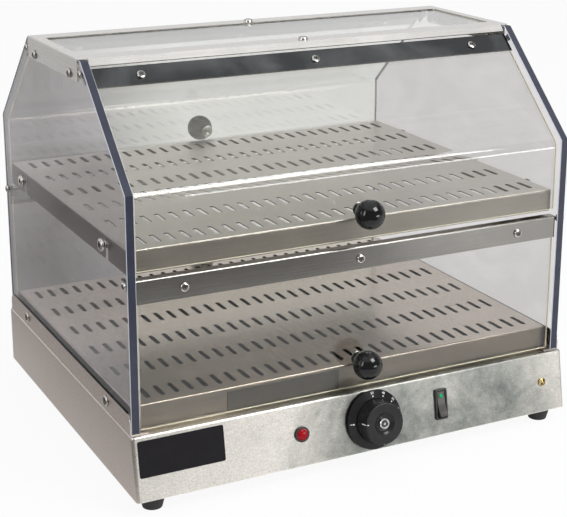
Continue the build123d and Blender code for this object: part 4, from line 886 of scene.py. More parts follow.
class CASE_OT_top_sheet(Operator):
    """Cut the clear sheet under the cover's window"""

    bl_idname = "display_case.top_sheet"
    bl_label = "Top sheet"

    def execute(self, context):
        acrylic = context.scene.case_acrylic
        name = "top_clear_sheet"
        low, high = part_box("top_glass")
        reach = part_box("glass_screws")[1].y - context.scene.case_fasteners.dome / 2
        holes = [(0, reach, SCREW_BORE), (0, -reach, SCREW_BORE)]
        outline = rectangle(low.x, low.y, high.x, high.y)
        bm = cut_sheet(name, outline, holes, high.z - low.z - 2 * HAIR, acrylic.arris)
        for side in bm.faces:
            side.material_index = 0 if abs(side.normal.z) > 0.95 else 1
        piece(name, smooth_mesh(bm, name, 30), [flap_acrylic(acrylic, "front"), flap_edge(acrylic)], "case",
              ["top_glass"], Matrix.Translation((0, 0, (low.z + high.z) / 2)))
        return {"FINISHED"}


def hex_key(across, low, high):
    """Cutter for a hexagon socket."""
    bm = bmesh.new()
    add_prism(bm, ring_points(across / math.sqrt(3), 6), low, high)
    return smooth_mesh(bm, "hex_key", 20)


class CASE_OT_knobs(Operator):
    """Turn the four ball knobs and the screws that hold them"""

    bl_idname = "display_case.knobs"
    bl_label = "Ball knobs"

    def execute(self, context):
        controls = context.scene.case_controls
        ball, collar, seam = controls.ball / 2, controls.collar / 2, 0.00008
        meet = math.degrees(math.acos((collar + 0.0004) / ball))
        black = moulded("ball_knob_black", shade_of(controls.black, 0.4), 0.1, worn=1.4, grain=700.0,
                        bump=0.012, wander=0.05, gloss=0.4)
        bolt = moulded("knob_bolt_steel", (0.3, 0.305, 0.28), 0.26, worn=1.5, grain=900.0, metal=1.0)
        for flap, way, *_ in FLAPS:
            low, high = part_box(f"{flap}_knob")
            face = high.y if way < 0 else low.y
            seat = looking_along((0, face, (low.z + high.z) / 2), (0, way, 0), (0, 0, 1))
            centre = (high.y - low.y) - ball
            profile = [(0.0026, 0.0), (collar - 0.0008, 0.0), (collar - 0.0002, 0.0003), (collar, 0.0009)]
            profile += [(collar, 0.0030), (collar - 0.0003, 0.0033), (collar - 0.0003, 0.0041)]
            profile += [(collar, 0.0044)] + arc_points((0, centre), ball, -meet, -2, 20)
            profile += [(ball - seam, centre)] + arc_points((0, centre), ball, 2, 88, 30)
            bm = bmesh.new()
            add_turned(bm, profile + [(0, centre + ball)], steps=72)
            name = f"{flap}_ball_knob"
            piece(name, smooth_mesh(bm, name, 40), [black], f"{flap}_flap", [f"{flap}_knob"],
                  seat)

            low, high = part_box(f"{flap}_knob_screw")
            back = -abs((low.y if way > 0 else high.y) - face)
            wide = (high.x - low.x) / 2
            profile = [(0, -0.0040), (wide - 0.0004, -0.0040), (wide, -0.0043), (wide, -0.0046)]
            profile += [(wide - 0.0005, -0.0049), (0.0047, -0.0049), (0.0045, -0.0051)]
            profile += [(0.0043, back + 0.0005), (0.0036, back), (0.0, back)]
            bm = bmesh.new()
            add_turned(bm, profile, steps=40)
            add_turned(bm, [(0.0025, 0.0138), (0.0025, -0.0041)], steps=24)
            name = f"{flap}_knob_bolt"
            mesh = cut_by(smooth_mesh(bm, name, 35), hex_key(0.0028, back - 0.0005, back + 0.0011))
            piece(name, mesh, [bolt], f"{flap}_flap", [f"{flap}_knob_screw"], seat)
        return {"FINISHED"}


def cross_key(head):
    """Cutter for a cross recess in a pan head, narrower towards its bottom."""
    span, width = head * 0.6, head * 0.17
    bm = bmesh.new()
    ends = []
    for height, reach, half in (
        (PAN_HEIGHT - KEY_DEPTH, span * 0.3, width * 0.36), (PAN_HEIGHT + KEY_RISE, span * 0.5, width * 0.5),
    ):
        arm = [(reach, -half), (reach, half), (half, half)]
        outline = [Matrix.Rotation(math.pi / 2 * turn, 2) @ Vector(p) for turn in range(4) for p in arm]
        ends.append([bm.verts.new((p.x, p.y, height)) for p in outline])
    for i in range(12):
        j = (i + 1) % 12
        bm.faces.new((ends[0][i], ends[0][j], ends[1][j], ends[1][i]))
    bm.faces.new(ends[0][::-1])
    bm.faces.new(ends[1])
    return smooth_mesh(bm, "cross_key", 20)


def slot_key(head):
    """Cutter for a straight slot across a pan head."""
    half = head * 0.07
    bm = bmesh.new()
    add_prism(bm, rectangle(-head, -half, head, half), PAN_HEIGHT - 0.0011, PAN_HEIGHT + 0.0005)
    return smooth_mesh(bm, "slot_key", 20)


def screw_mesh(name, head, shank, reach, nut_top=None, bulge=PAN_BULGE, key=cross_key):
    """Screw along Z with its seat at zero: pan head above, threaded shank below, nut on it if asked."""
    rim, outer = head / 2, shank / 2
    crown = [(rim - 0.0002, 0.0), (rim, 0.0003), (rim, PAN_HEIGHT - bulge)]
    crown += arc_points((rim - bulge, PAN_HEIGHT - bulge), bulge, 12, 84, 6, bulge * 0.82)
    crown += [(rim * 0.42, PAN_HEIGHT - 0.00012), (0.0, PAN_HEIGHT)]
    thread = []
    step = -0.0008
    while step > -reach + 0.0006:
        thread += [(outer - 0.0003, step), (outer, step - 0.00035)]
        step -= 0.0007
    tip = [(0.0, -reach), (outer - 0.0006, -reach), (outer, -reach + 0.0006)]
    bm = bmesh.new()
    add_turned(bm, tip + thread[::-1] + [(outer, 0.0)] + crown, steps=32)
    mesh = cut_by(smooth_mesh(bm, name, 35), key(head))
    if nut_top is not None:
        bm = bmesh.new()
        bm.from_mesh(mesh)
        add_nut(bm, nut_top)
        bmesh.ops.recalc_face_normals(bm, faces=bm.faces)
        bm.to_mesh(mesh)
        bm.free()
    paint_recess_shade(smoothed(mesh, 35), head, PAN_HEIGHT)
    return mesh


def stud_mesh(head):
    """Shelf stud along Z with its seat at zero: socket head outside, boss with a lip inside."""
    rim, height = head / 2, 0.0030
    profile = [(0.0, -0.0185), (0.0049, -0.0185), (0.0055, -0.0181), (0.0055, -0.0174), (0.0051, -0.0170)]
    profile += [(0.0040, -0.0169), (0.0040, -0.0090), (0.0025, -0.0090), (0.0025, 0.0)]
    profile += [(rim - 0.0003, 0.0), (rim, 0.0003), (rim, 0.0016), (rim - 0.0003, 0.0023)]
    profile += [(rim - 0.0010, 0.0028), (rim - 0.0018, height), (0.0, height)]
    bm = bmesh.new()
    add_turned(bm, profile, steps=40)
    mesh = cut_by(smooth_mesh(bm, "stud", 35), hex_key(0.0050, 0.0012, 0.0034))
    paint_recess_shade(mesh, head, height)
    return mesh


def dome_mesh(width):
    """Dome screw through the cover and the top sheet, with its nut."""
    rim = width / 2
    profile = [(0.0, -0.0092), (0.0016, -0.0092), (0.0020, -0.0086), (0.0020, 0.0), (rim, 0.0), (rim, 0.0003)]
    profile += arc_points((0, 0.0003), rim, 10, 80, 7, DOME_RISE - 0.0003) + [(0.0, DOME_RISE)]
    bm = bmesh.new()
    add_turned(bm, profile, steps=40)
    add_nut(bm, -0.005)
    return smooth_mesh(bm, "dome", 35)


def paint_recess_shade(mesh, head, height):
    """Puts the walls of the drive recess and the underside of the rim in the second finish, painted shade for
    the shadow there.
    """
    for face in mesh.polygons:
        reach, level = face.center.xy.length, face.center.z
        in_recess = reach < head * 0.33 and 0 < level < height - 0.0002
        under_rim = reach > head * 0.4 and 0 <= level < 0.0003
        face.material_index = 1 if in_recess or under_rim else 0


def screw_row(node, template, seats, finish, body="case"):
    """One piece made of like screws set at several seats, in place of a CAD node."""
    bm = bmesh.new()
    for seat in seats:
        start = len(bm.verts)
        bm.from_mesh(template)
        bm.verts.ensure_lookup_table()
        bmesh.ops.transform(bm, matrix=seat, verts=bm.verts[start:])
    name = f"{node}_set"
    mesh = bpy.data.meshes.new(name)
    bm.to_mesh(mesh)
    bm.free()
    piece(name, smoothed(mesh, 35), [finish, painted_recess_shade()], body, [node])


def corner_spots(low, high, inset):
    """Places in plan of four screws, set in from the corners of their box."""
    return [(x, y) for x in (inset - high.x, high.x - inset) for y in (low.y + inset, high.y - inset)]


class CASE_OT_screws(Operator):
    """Set the screws of the rails, cover, flaps, top sheet, pan, base and feet, and the shelf studs"""

    bl_idname = "display_case.screws"
    bl_label = "Screws and studs"

    def execute(self, context):
        sizes = context.scene.case_fasteners
        bright = bright_screw(sizes)
        self.set_side_rows(sizes, bright)
        self.set_leaf_rows(sizes, bright, pane_slope(context.scene.case_acrylic))
        self.set_level_rows(sizes, bright)
        dress(bright, "thermostat_screws")
        return {"FINISHED"}

    def set_side_rows(self, sizes, bright):
        """Rail and cover screws, shelf studs and pivots, which go in from the sides."""
        for node, face, template in (
            ("rail_screws", RAIL_FACE, screw_mesh("rail_screw", sizes.head * 1.2, sizes.shank, 0.008)),
            ("cover_screws", RAIL_FACE, screw_mesh("cover_screw", sizes.head, sizes.shank, 0.0142, -0.010)),
            ("shelf_studs", PANE_FACE, stud_mesh(sizes.stud_head)),
        ):
            reach, height = screw_line(node)
            screw_row(node, template, [
                looking_along((hand * face, way * reach, height), (hand, 0, 0), (0, way * 0.6, 0.8))
                for hand in (-1, 1) for way in (-1, 1)
            ], bright)
        pivots = [JOINTS[f"{flap}_hinge"]["pos_m"] for flap, *_ in FLAPS]
        screw_row("pivot_screws", screw_mesh("pivot_screw", sizes.pivot_head, 0.0035, 0.0118), [
            looking_along((hand * PANE_FACE, spot[1], spot[2]), (hand, 0, 0), (0, 0.3, 1))
            for hand in (-1, 1) for spot in pivots
        ], bright)

    def set_leaf_rows(self, sizes, bright, slope):
        """Three screws through each flap's leaf and pane."""
        template = screw_mesh("leaf_screw", sizes.head, sizes.shank, 0.0092, -0.005)
        for flap, way, tier, _ in FLAPS:
            lean = slope if tier == "upper" else math.radians(90)
            out = Vector((0, way * math.sin(lean), math.cos(lean)))
            up = Vector((0, -way * math.cos(lean), math.sin(lean)))
            middle = Vector(JOINTS[f"{flap}_hinge"]["pos_m"]) + out * LEAF_FACE - up * LEAF_SCREW
            node = f"{flap}_leaf_screws"
            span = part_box(node)[1].x - sizes.head / 2
            screw_row(node, template, [
                looking_along(middle + X_AXIS * across, out, up + X_AXIS * (0.3 + 4 * across))
                for across in (-span, 0.0, span)
            ], bright, f"{flap}_flap")

    def set_level_rows(self, sizes, bright):
        """Screws of the top sheet and the pan, from above, and of the bottom plate and feet, from below."""
        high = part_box("glass_screws")[1]
        reach = high.y - sizes.dome / 2
        screw_row("glass_screws", dome_mesh(sizes.dome), [
            Matrix.Translation((0, way * reach, high.z - DOME_RISE)) for way in (-1, 1)
        ], bright)
        low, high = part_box("pan_screws")
        screw_row("pan_screws", screw_mesh("pan_screw", sizes.head, sizes.shank, 0.0062, -0.002), [
            Matrix.Translation((x, y, high.z - PAN_HEIGHT)) @ Matrix.Rotation(20 * x, 4, "Z")
            for x, y in corner_spots(low, high, sizes.head / 2)
        ], bright)
        for node, template in (
            ("bottom_screws", screw_mesh("bottom_screw", sizes.head, sizes.shank, 0.0052)),
            ("foot_screws", screw_mesh("foot_screw", sizes.head, sizes.shank, 0.0112, -0.007, 0.0012)),
        ):
            low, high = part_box(node)
            screw_row(node, template, [
                looking_along((x, y, low.z + PAN_HEIGHT), (0, 0, -1), (x, 0.4, 0))
                for x, y in corner_spots(low, high, sizes.head / 2)
            ], bright)


class CASE_OT_dial(Operator):
    """Turn the dial with its skirt, dish and cap, and print its figures"""

    bl_idname = "display_case.dial"
    bl_label = "Thermostat dial"

    def execute(self, context):
        controls = context.scene.case_controls
        gap, skirt = 0.002, controls.dial / 2
        seat = panel_place("dial_turn") @ Matrix.Translation((0, 0, gap))
        cone_foot, cone_top = (skirt - 0.0004, 0.0024), (0.0238, 0.0049)
        boss, root, top = 0.0213, 0.0228, 0.0225
        floor, hollow = top - 0.0025, 0.00764
        profile = [(0.0031, 0.0025), (0.0208, 0.0025), (0.0210, 0.0), (skirt - 0.0002, 0.0), (skirt, 0.0003)]
        profile += [(skirt, 0.0020), (skirt - 0.0001, 0.0023), cone_foot, cone_top]
        profile += [(0.0236, 0.0036), (root, 0.0036), (boss, top - 0.0006)]
        profile += arc_points((boss - 0.0006, top - 0.0006), 0.0006, 5, 85, 6)
        profile += [(boss - 0.0012, top), (0.0115, top)]
        profile += arc_points((0.0058, floor + hollow), hollow, -45, -90, 8) + [(0.0, floor)]
        bm = bmesh.new()
        add_turned(bm, profile, steps=112)
        black = moulded("dial_moulding", controls.black, 0.24, worn=2.0, grain=1800.0, bump=0.03, gloss=0.28)
        mesh = smooth_mesh(bm, "dial_body", 28)
        # The ledge round the boss's root takes painted shade
        for face in mesh.polygons:
            beside = root - 0.0001 < face.center.xy.length < cone_top[0]
            face.material_index = 1 if beside and 0.0030 < face.center.z < 0.0048 else 0
        piece("dial_body", mesh, [black, painted_recess_shade()], "dial", ["thermostat_dial"], seat)

        rings = [(0.0055, 0.0), (0.0055, 0.0019), (0.0051, 0.0024), (0.0041, 0.0024), (0.0036, 0.0019)]
        rings += [(0.0036, 0.0014), (0.0017, 0.0014), (0.0014, 0.0019), (0.0, 0.0020)]
        bm = bmesh.new()
        add_turned(bm, [(reach, floor + rise) for reach, rise in rings], steps=48)
        chrome = moulded("dial_cap_chrome", (0.6, 0.6, 0.59), 0.12, worn=1.2, grain=500.0, metal=1.0)
        mesh = smooth_mesh(bm, "dial_cap_ring", 30)
        # The dip between the cap's outer ring and its centre takes painted shade
        for face in mesh.polygons:
            face.material_index = 1 if 0.0016 < face.center.xy.length < 0.0038 else 0
        piece("dial_cap_ring", mesh, [chrome, painted_recess_shade()], "dial", ["dial_cap"], seat)
        dress(chrome, "thermostat_shaft")

        bm = bmesh.new()
        self.print_skirt(bm, controls, cone_foot, cone_top)
        # Pointer: a bar over the boss's shoulder, level on top and down its side
        turned = Matrix.Rotation(math.radians(-6), 4, "Z")
        bar = rectangle(-boss + 0.0009, -0.00042, -boss + 0.0028, 0.00042)
        add_prism(bm, bar, top - 0.0001, top + INK, turned)
        lean = math.atan2(root - boss, top - 0.0042)
        side = looking_along((-boss - 0.0040 * math.tan(lean), 0, top - 0.0046),
                             (-math.cos(lean), 0, math.sin(lean)), (0, 0, 1))
        add_prism(bm, rectangle(-0.00046, -0.0037, 0.00046, 0.0037), -0.0001, 2 * INK, turned @ side)
        white = moulded("dial_print", controls.print_white, 0.55, worn=1.05, grain=900.0)
        piece("dial_figures", smooth_mesh(bm, "dial_figures", 30), [white], "dial", [], seat)
        return {"FINISHED"}

    def print_skirt(self, bm, controls, cone_foot, cone_top):
        """Adds the dots and figures of the temperatures, and the start mark, to the skirt."""
        fall = math.atan2(cone_top[1] - cone_foot[1], cone_foot[0] - cone_top[0])

        def on_cone(turn, reach):
            """Frame on the skirt at an angle clockwise from the top: X clockwise, Y outwards."""
            outward = Vector((math.sin(turn), math.cos(turn), 0))
            share = (reach - cone_top[0]) / (cone_foot[0] - cone_top[0])
            spot = outward * reach + Vector((0, 0, cone_top[1] + (cone_foot[1] - cone_top[1]) * share))
            y = outward * math.cos(fall) - Vector((0, 0, math.sin(fall)))
            z = outward * math.sin(fall) + Vector((0, 0, math.cos(fall)))
            return Matrix.Translation(spot + z * INK) @ Matrix((y.cross(z), y, z)).transposed().to_4x4()

        rise = 10  # degrees of heat from one figure to the next
        step, first, start = 27.5, -4, -90  # turn between figures, to the first one and to the start mark
        for mark in range((controls.last_mark - controls.first_mark) // rise + 1):
            turn = math.radians(step * mark + first)
            add_prism(bm, ring_points(0.0007, 14), 0.0, INK, on_cone(turn, 0.0252))
            drawn = bpy.data.curves.new("figure", "FONT")
            drawn.body = str(controls.first_mark + rise * mark)
            drawn.size = 0.0036
            drawn.align_x, drawn.align_y = "CENTER", "CENTER"
            drawn.extrude = INK / 2
            holder = bpy.data.objects.new("figure", drawn)
            mesh = bpy.data.meshes.new_from_object(holder)
            mesh.transform(on_cone(turn, 0.0283))
            bm.from_mesh(mesh)
            bpy.data.objects.remove(holder)
            bpy.data.meshes.remove(mesh)
        turn = math.radians(start)
        add_prism(bm, ring_points(0.0009, 16), 0.0, INK, on_cone(turn, 0.0258))
        add_prism(bm, rectangle(-0.0003, -0.0013, 0.0003, 0.0013), 0.0, INK, on_cone(turn, 0.0284))


class CASE_OT_switch(Operator):
    """Shape the rocker and its lens, and dress the switch's housing"""

    bl_idname = "display_case.switch"
    bl_label = "Rocker switch"

    def execute(self, context):
        controls = context.scene.case_controls
        dress(control_black(controls), "switch_housing")
        rest_tilt = math.radians(-11)
        seat = panel_place("rocker_tilt") @ Matrix.Rotation(rest_tilt, 4, "X")
        half, wide, deep = 0.013, 0.0044, -0.0045
        crest = [(half, 0.0042), (half - 0.0005, 0.00425)]
        for i in range(1, 12):
            y = (half - 0.0005) * (1 - i / 6)
            crest.append((y, 0.0024 + 0.0018 * (abs(y) / half) ** 1.7))
        crest += [(-half + 0.0005, 0.00425), (-half, 0.0042)]
        outline = crest + [(-half + 0.0004, deep), (half - 0.0004, deep)]
        pin = [(0.0, -0.0061), (0.0013, -0.0061), (0.0015, -0.0059)]
        pin += [(reach, -height) for reach, height in pin[::-1]]
        bm = bmesh.new()
        add_prism(bm, [(z, -y) for y, z in outline], -wide, wide, chamfer=0.0003)
        add_turned(bm, pin, steps=20)
        # Both were drawn in the switch's side view, so they are turned to face out of the panel
        turn = Matrix(((0, 0, 1, 0), (0, -1, 0, 0), (1, 0, 0, 0), (0, 0, 0, 1)))
        bmesh.ops.transform(bm, matrix=turn, verts=bm.verts)
        black = moulded("rocker_moulding", (0.045, 0.041, 0.038), 0.34, worn=1.8, grain=2000.0, bump=0.05)
        piece("rocker_body", smooth_mesh(bm, "rocker_body", 30), [black], "rocker",
              ["switch_rocker"], seat)
        rim, foot = 0.0022, 0.0036
        dome = [(0.0, 0.0024), (rim, 0.0024), (rim, foot)] + arc_points((0, foot), rim, 15, 75, 4, 0.0008)
        bm = bmesh.new()
        add_turned(bm, dome + [(0.0, 0.0044)], steps=32, place=Matrix.Translation((0, half * 2 / 3, 0)))
        green = lens_finish("switch_lens_green", controls.lens_green)
        piece("rocker_lens", smooth_mesh(bm, "rocker_lens", 40), [green], "rocker",
              ["switch_lens"], seat)
        return {"FINISHED"}


class CASE_OT_pilot_lamp(Operator):
    """Turn the pilot lamp's lens and dress its flange"""

    bl_idname = "display_case.pilot_lamp"
    bl_label = "Pilot lamp"

    def execute(self, context):
        controls = context.scene.case_controls
        dress(control_black(controls), "pilot_housing")
        low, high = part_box("pilot_lens")
        rim, foot = (high.x - low.x) / 2, 0.0031
        profile = [(0.0, 0.0008), (rim, 0.0008), (rim, 0.0023), (rim - 0.0001, 0.0027)]
        profile += [(rim - 0.0007, 0.0028), (rim - 0.0008, foot)]
        profile += arc_points((0, foot), rim - 0.0008, 8, 88, 10, 0.0016)
        bm = bmesh.new()
        add_turned(bm, profile + [(0.0, 0.0047)], steps=64)
        red = lens_finish("pilot_lens_red", controls.lamp_red)
        piece("pilot_lens_dome", smooth_mesh(bm, "pilot_lens_dome", 35), [red], "case",
              ["pilot_lens"], panel_place_over("pilot_lens"))
        return {"FINISHED"}


class CASE_OT_earth_and_label(Operator):
    """Set the brass earth screw and the plain label plate"""

    bl_idname = "display_case.earth_and_label"
    bl_label = "Earth screw and label plate"

    def execute(self, context):
        sizes = context.scene.case_fasteners
        seat = panel_place_over("earth_screw") @ Matrix.Rotation(0.9, 4, "Z")
        template = screw_mesh("earth_screw_blank", sizes.head, sizes.shank, 0.0052, -0.001, key=slot_key)
        brass = moulded("earth_brass", sizes.brass, 0.24, worn=1.2, grain=700.0, metal=1.0)
        screw_row("earth_screw", template, [seat], brass)
        film = moulded("label_film", (0.010, 0.009, 0.011), 0.5, worn=1.8, grain=500.0, bump=0.02, gloss=0.12)
        dress(film, "label_plate")
        return {"FINISHED"}


class CASE_OT_feet(Operator):
    """Turn the four rubber feet"""

    bl_idname = "display_case.feet"
    bl_label = "Rubber feet"

    def execute(self, context):
        low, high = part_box("rubber_feet")
        rubber = moulded("foot_rubber_black", (0.022, 0.021, 0.021), 0.62, worn=2.4, grain=1100.0, bump=0.25)
        top, tip, tall, bore = 0.0135, 0.010, high.z, 0.0022
        profile = [(bore, 0.006), (0.0051, 0.006), (0.0055, 0.0056), (0.0055, 0.0006), (0.0061, 0.0)]
        profile += [(tip - 0.0008, 0.0), (tip - 0.0002, 0.0003), (tip, 0.0010), (tip + 0.0026, 0.0110)]
        profile += [(tip + 0.0023, 0.0114), (tip + 0.0023, 0.0120), (tip + 0.0028, 0.0124)]
        profile += [(top, tall - 0.0008), (top - 0.0004, tall), (bore, tall), (bore, 0.006)]
        bm = bmesh.new()
        for x in (low.x + top, high.x - top):
            for y in (low.y + top, high.y - top):
                add_turned(bm, profile, steps=48, place=Matrix.Translation((x, y, 0)))
        piece("rubber_feet_set", smooth_mesh(bm, "rubber_feet_set", 32), [rubber], "case",
              ["rubber_feet"])
        return {"FINISHED"}


class CASE_OT_gland(Operator):
    """Turn the cable gland with its fluted cap, and dress its lock nut"""

    bl_idname = "display_case.gland"
    bl_label = "Cable gland"

    def execute(self, context):
        low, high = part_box("cable_gland")
        black = moulded("gland_nylon", (0.02, 0.02, 0.021), 0.42, worn=2.2, grain=900.0, bump=0.1)
        wall = 0.200
        seat = looking_along(((low.x + high.x) / 2, wall, (low.z + high.z) / 2), (0, 1, 0), (0, 0, 1))
        bore, inner, outer, flange = 0.004, -0.012, 0.0320, 0.006
        profile = [(bore, inner), (0.0093, inner), (0.0099, -0.0114), (0.0099, -0.0012), (0.0096, 0.0)]
        profile += [(0.0096, flange), (0.0112, 0.0062), (0.0115, 0.0066, 1.0), (0.0115, 0.0170, 1.0)]
        profile += [(0.0112, 0.0180, 1.0), (0.0108, 0.0200), (0.0085, 0.0240), (0.0080, 0.0248)]
        profile += [(0.0080, 0.0312), (0.0074, outer), (bore + 0.0005, outer), (bore, 0.0315), (bore, inner)]
        bm = bmesh.new()
        add_turned(bm, profile, steps=144, flutes=18, depth=0.0007)
        add_prism(bm, ring_points(0.014, 6), 0.0, flange, chamfer=0.0008)
        piece("gland_body", smooth_mesh(bm, "gland_body", 30), [black], "case",
              ["cable_gland"], seat)
        dress(black, "gland_nut")
        return {"FINISHED"}


class CASE_OT_heater(Operator):
    """Dress the heat pan, the element, the probe and the parts inside the base"""

    bl_idname = "display_case.heater"
    bl_label = "Heater and inner parts"

    def execute(self, context):
        pan = brushed("pan_sheet", context.scene.case_sheet.pan, 0.38, cloud=0.5)
        dress(pan, "heat_pan", "heater_supports", "probe_clips")
        oxide = moulded("element_oxide", (0.13, 0.115, 0.1), 0.42, worn=1.8, grain=500.0, bump=0.1, metal=1.0)
        dress(oxide, "heating_element")
        copper = moulded("probe_copper", (0.62, 0.3, 0.17), 0.32, worn=1.4, grain=500.0, metal=1.0)
        dress(copper, "thermostat_probe")
        inner = moulded("inner_grey_moulding", (0.3, 0.3, 0.29), 0.5, worn=1.4, grain=1200.0, bump=0.1)
        dress(inner, "thermostat_body", "terminal_block")
        return {"FINISHED"}


def grey_ramp(tree, share, stops):
    """Greys by share, from (position, level) stops."""
    ramp = tree.nodes.new("ShaderNodeValToRGB")
    tree.links.new(share, ramp.inputs[0])
    ends = ramp.color_ramp.elements
    for end, (at, level) in zip(ends, (stops[0], stops[-1])):
        end.position, end.color = at, grey(level)
    for at, level in stops[1:-1]:
        ends.new(at).color = grey(level)
    return ramp.outputs[0]


def glow(tree, tone):
    return add_node(tree, "ShaderNodeEmission", None, {"Color": tone, "Strength": 1.0}).outputs[0]


class CASE_OT_stage(Operator):
    """Lay the floor and set the lamps, the room and the camera"""

    bl_idname = "display_case.stage"
    bl_label = "Stage"

    def execute(self, context):
        scene = context.scene
        scene.view_settings.view_transform = "Standard"
        self.lay_floor(scene)
        self.hang_lamps(scene)
        self.paint_room(scene)
        self.set_camera(scene)
        return {"FINISHED"}

    def lay_floor(self, scene):
        """A pale floor, near white to the camera, that metal mirrors as a bright table in a dim room, with
        painted shade where it is seen through the panes at the left.
        """
        bm = bmesh.new()
        bmesh.ops.create_grid(bm, x_segments=24, y_segments=24, size=9.0)
        mesh = bpy.data.meshes.new("studio_floor")
        bm.to_mesh(mesh)
        bm.free()
        floor = bpy.data.objects.new("studio_floor", mesh)
        scene.collection.objects.link(floor)
        finish, tree, surface = new_finish("studio_floor_pale")
        pale = (*scene.case_stage.floor, 1)
        set_inputs(tree, surface, {"Base Color": pale, "Roughness": 0.9, "Specular IOR Level": 0.1})
        path = tree.nodes.new("ShaderNodeLightPath").outputs
        through, mirrored = path["Is Transmission Ray"], path["Is Glossy Ray"]
        spot = parts_of(tree, object_spot(tree))
        x, y = spot["X"], spot["Y"]

        # Share of white for the camera, through the panes to the right and behind, and in metal; in front,
        # through the panes, it falls towards the left as painted shade on the floor
        beyond = larger(tree, spread(tree, x, 0.0, 0.6, 0.0, 0.95), spread(tree, y, -0.35, -0.15, 0.0, 0.9))
        white = times(tree, path["Is Camera Ray"], 0.93)
        for ray, share in ((through, beyond), (mirrored, 0.4)):
            white = larger(tree, white, times(tree, ray, share))
        plain = mixed_shader(tree, white, surface.outputs[0], glow(tree, grey(1)))

        # Share of the dim room, seen in mirrors off the table, and through the panes at the back left as
        # painted shade on the floor
        table = maths(tree, "MINIMUM", spread(tree, x, -0.4, -0.22), spread(tree, y, -0.72, -0.62))
        slant = maths(tree, "ADD", x, times(tree, y, 0.5))
        for bright in (spread(tree, slant, -0.1, 0.1), spread(tree, y, 1.15, 1.3)):
            table = larger(tree, table, bright)
        clear = larger(tree, spread(tree, y, -0.35, -0.15), spread(tree, y, -1.2, -1.1, 1.0, 0.0))
        lit = larger(tree, table, times(tree, through, clear))
        room = times(tree, mirrored, maths(tree, "SUBTRACT", 1.0, lit))
        tilted = maths(tree, "SUBTRACT", x, times(tree, y, 0.3))
        painted_floor_shade = times(tree, spread(tree, tilted, -0.24, 0.06, 0.86, 0.0), spread(tree, y, 0.15, 0.35))
        room = larger(tree, room, times(tree, through, painted_floor_shade))
        shown = mixed_shader(tree, room, plain, glow(tree, (0.22, 0.215, 0.21, 1)))
        tree.links.new(shown, tree.nodes["Material Output"].inputs["Surface"])
        mesh.materials.append(finish)

    def hang_lamps(self, scene):
        """Three soft lamps, turned towards the middle of the case."""
        settings = scene.case_stage
        aim = Vector((0, 0, 0.2))
        for name, spot, wide, tall, energy in (
            ("key_lamp", (0.8, -1.5, 1.9), 1.1, 1.0, settings.key_power),
            ("fill_lamp", (-2.0, -0.7, 1.0), 0.35, 1.2, settings.fill_power),
            ("front_lamp", (1.0, -1.95, 0.25), 0.9, 0.3, settings.front_power),
        ):
            lamp = bpy.data.lights.new(name, "AREA")
            lamp.shape, lamp.size, lamp.size_y, lamp.energy = "RECTANGLE", wide, tall, energy
            holder = bpy.data.objects.new(name, lamp)
            scene.collection.objects.link(holder)
            holder.location = spot
            holder.rotation_mode = "QUATERNION"
            holder.rotation_quaternion = (aim - Vector(spot)).to_track_quat("-Z", "Y")

    def paint_room(self, scene):
        """White to the camera and pale through the panes; a bright backdrop and a dim room in mirrors."""
        world = bpy.data.worlds.new("studio_room")
        scene.world = world
        world.use_nodes = True
        tree = world.node_tree
        side = parts_of(tree, tree.nodes.new("ShaderNodeTexCoord").outputs["Generated"])
        path = tree.nodes.new("ShaderNodeLightPath").outputs
        height = spread(tree, side["Z"], -1.0, 1.0)
        ceiling = ((0.89, 0.95), (1.0, 1.0))
        backdrop = grey_ramp(tree, height, (
            (0.0, 0.7), (0.48, 1.0), (0.66, 0.95), (0.71, 0.3), (0.82, 0.25), *ceiling,
        ))
        room = grey_ramp(tree, height, ((0.0, 0.3), (0.5, 0.22), (0.82, 0.18), *ceiling))
        around = mixed_colour(tree, spread(tree, side["Y"], -0.35, 0.25), room, backdrop)
        shaded = spread(tree, side["X"], 0.25, 0.55, 0.8, 1.0)
        through = mixed_colour(tree, path["Is Transmission Ray"], around, shaded)
        shown = mixed_colour(tree, path["Is Camera Ray"], through, grey(1))
        tree.links.new(shown, tree.nodes["Background"].inputs["Color"])

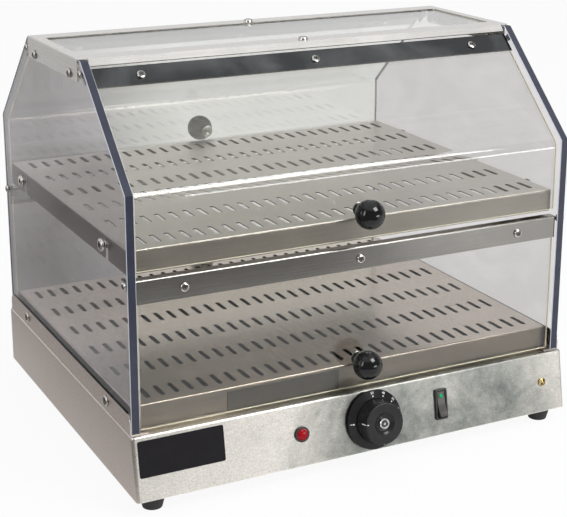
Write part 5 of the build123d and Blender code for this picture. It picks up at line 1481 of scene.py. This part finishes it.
    def set_camera(self, scene):
        """The camera, level but for a trace of roll, to the left of the front and above the case."""
        turn, tilt, roll = math.radians(-26.851), math.radians(15.857), math.radians(0.099)
        back = Vector((math.sin(turn) * math.cos(tilt), -math.cos(turn) * math.cos(tilt), math.sin(tilt)))
        camera = bpy.data.objects.new("camera", bpy.data.cameras.new("camera"))
        scene.collection.objects.link(camera)
        camera.location = (-0.6739, -1.3550, 0.6605)
        camera.rotation_mode = "QUATERNION"
        rolled = Matrix.Rotation(roll, 3, "Z").to_quaternion()
        camera.rotation_quaternion = (-back).to_track_quat("-Z", "Y") @ rolled
        camera.data.lens = scene.case_stage.lens
        camera.data.sensor_width = 36.0
        camera.data.sensor_fit = "HORIZONTAL"
        camera.data.shift_x, camera.data.shift_y = -0.0016, -0.1058
        camera.data.clip_start, camera.data.clip_end = 0.05, 60.0
        scene.camera = camera


OPERATORS = (
    CASE_OT_sheet_steel, CASE_OT_side_panes, CASE_OT_flap_panes, CASE_OT_top_sheet, CASE_OT_knobs,
    CASE_OT_screws, CASE_OT_dial, CASE_OT_switch, CASE_OT_pilot_lamp, CASE_OT_earth_and_label, CASE_OT_feet,
    CASE_OT_gland, CASE_OT_heater, CASE_OT_stage,
)
SETTINGS = {
    "case_sheet": SheetSettings,
    "case_acrylic": AcrylicSettings,
    "case_fasteners": FastenerSettings,
    "case_controls": ControlSettings,
    "case_stage": StageSettings,
}


class CASE_PT_builder(Panel):
    """Lists the settings and the operators that build the case"""

    bl_idname = "CASE_PT_builder"
    bl_label = "Display case"
    bl_space_type = "VIEW_3D"
    bl_region_type = "UI"
    bl_category = "Display case"

    def draw(self, context):
        for name, settings in SETTINGS.items():
            column = self.layout.column(align=True)
            for entry in settings.__annotations__:
                column.prop(getattr(context.scene, name), entry)
        for operator in OPERATORS:
            self.layout.operator(operator.bl_idname)


def register():
    for name, settings in SETTINGS.items():
        bpy.utils.register_class(settings)
        setattr(bpy.types.Scene, name, PointerProperty(type=settings))
    for operator in OPERATORS:
        bpy.utils.register_class(operator)
    bpy.utils.register_class(CASE_PT_builder)


def unregister():
    bpy.utils.unregister_class(CASE_PT_builder)
    for operator in reversed(OPERATORS):
        bpy.utils.unregister_class(operator)
    for name, settings in SETTINGS.items():
        delattr(bpy.types.Scene, name)
        bpy.utils.unregister_class(settings)


def main():
    register()
    for operator in OPERATORS:
        group, name = operator.bl_idname.split(".")
        getattr(getattr(bpy.ops, group), name)()


if __name__ == "__main__":
    main()
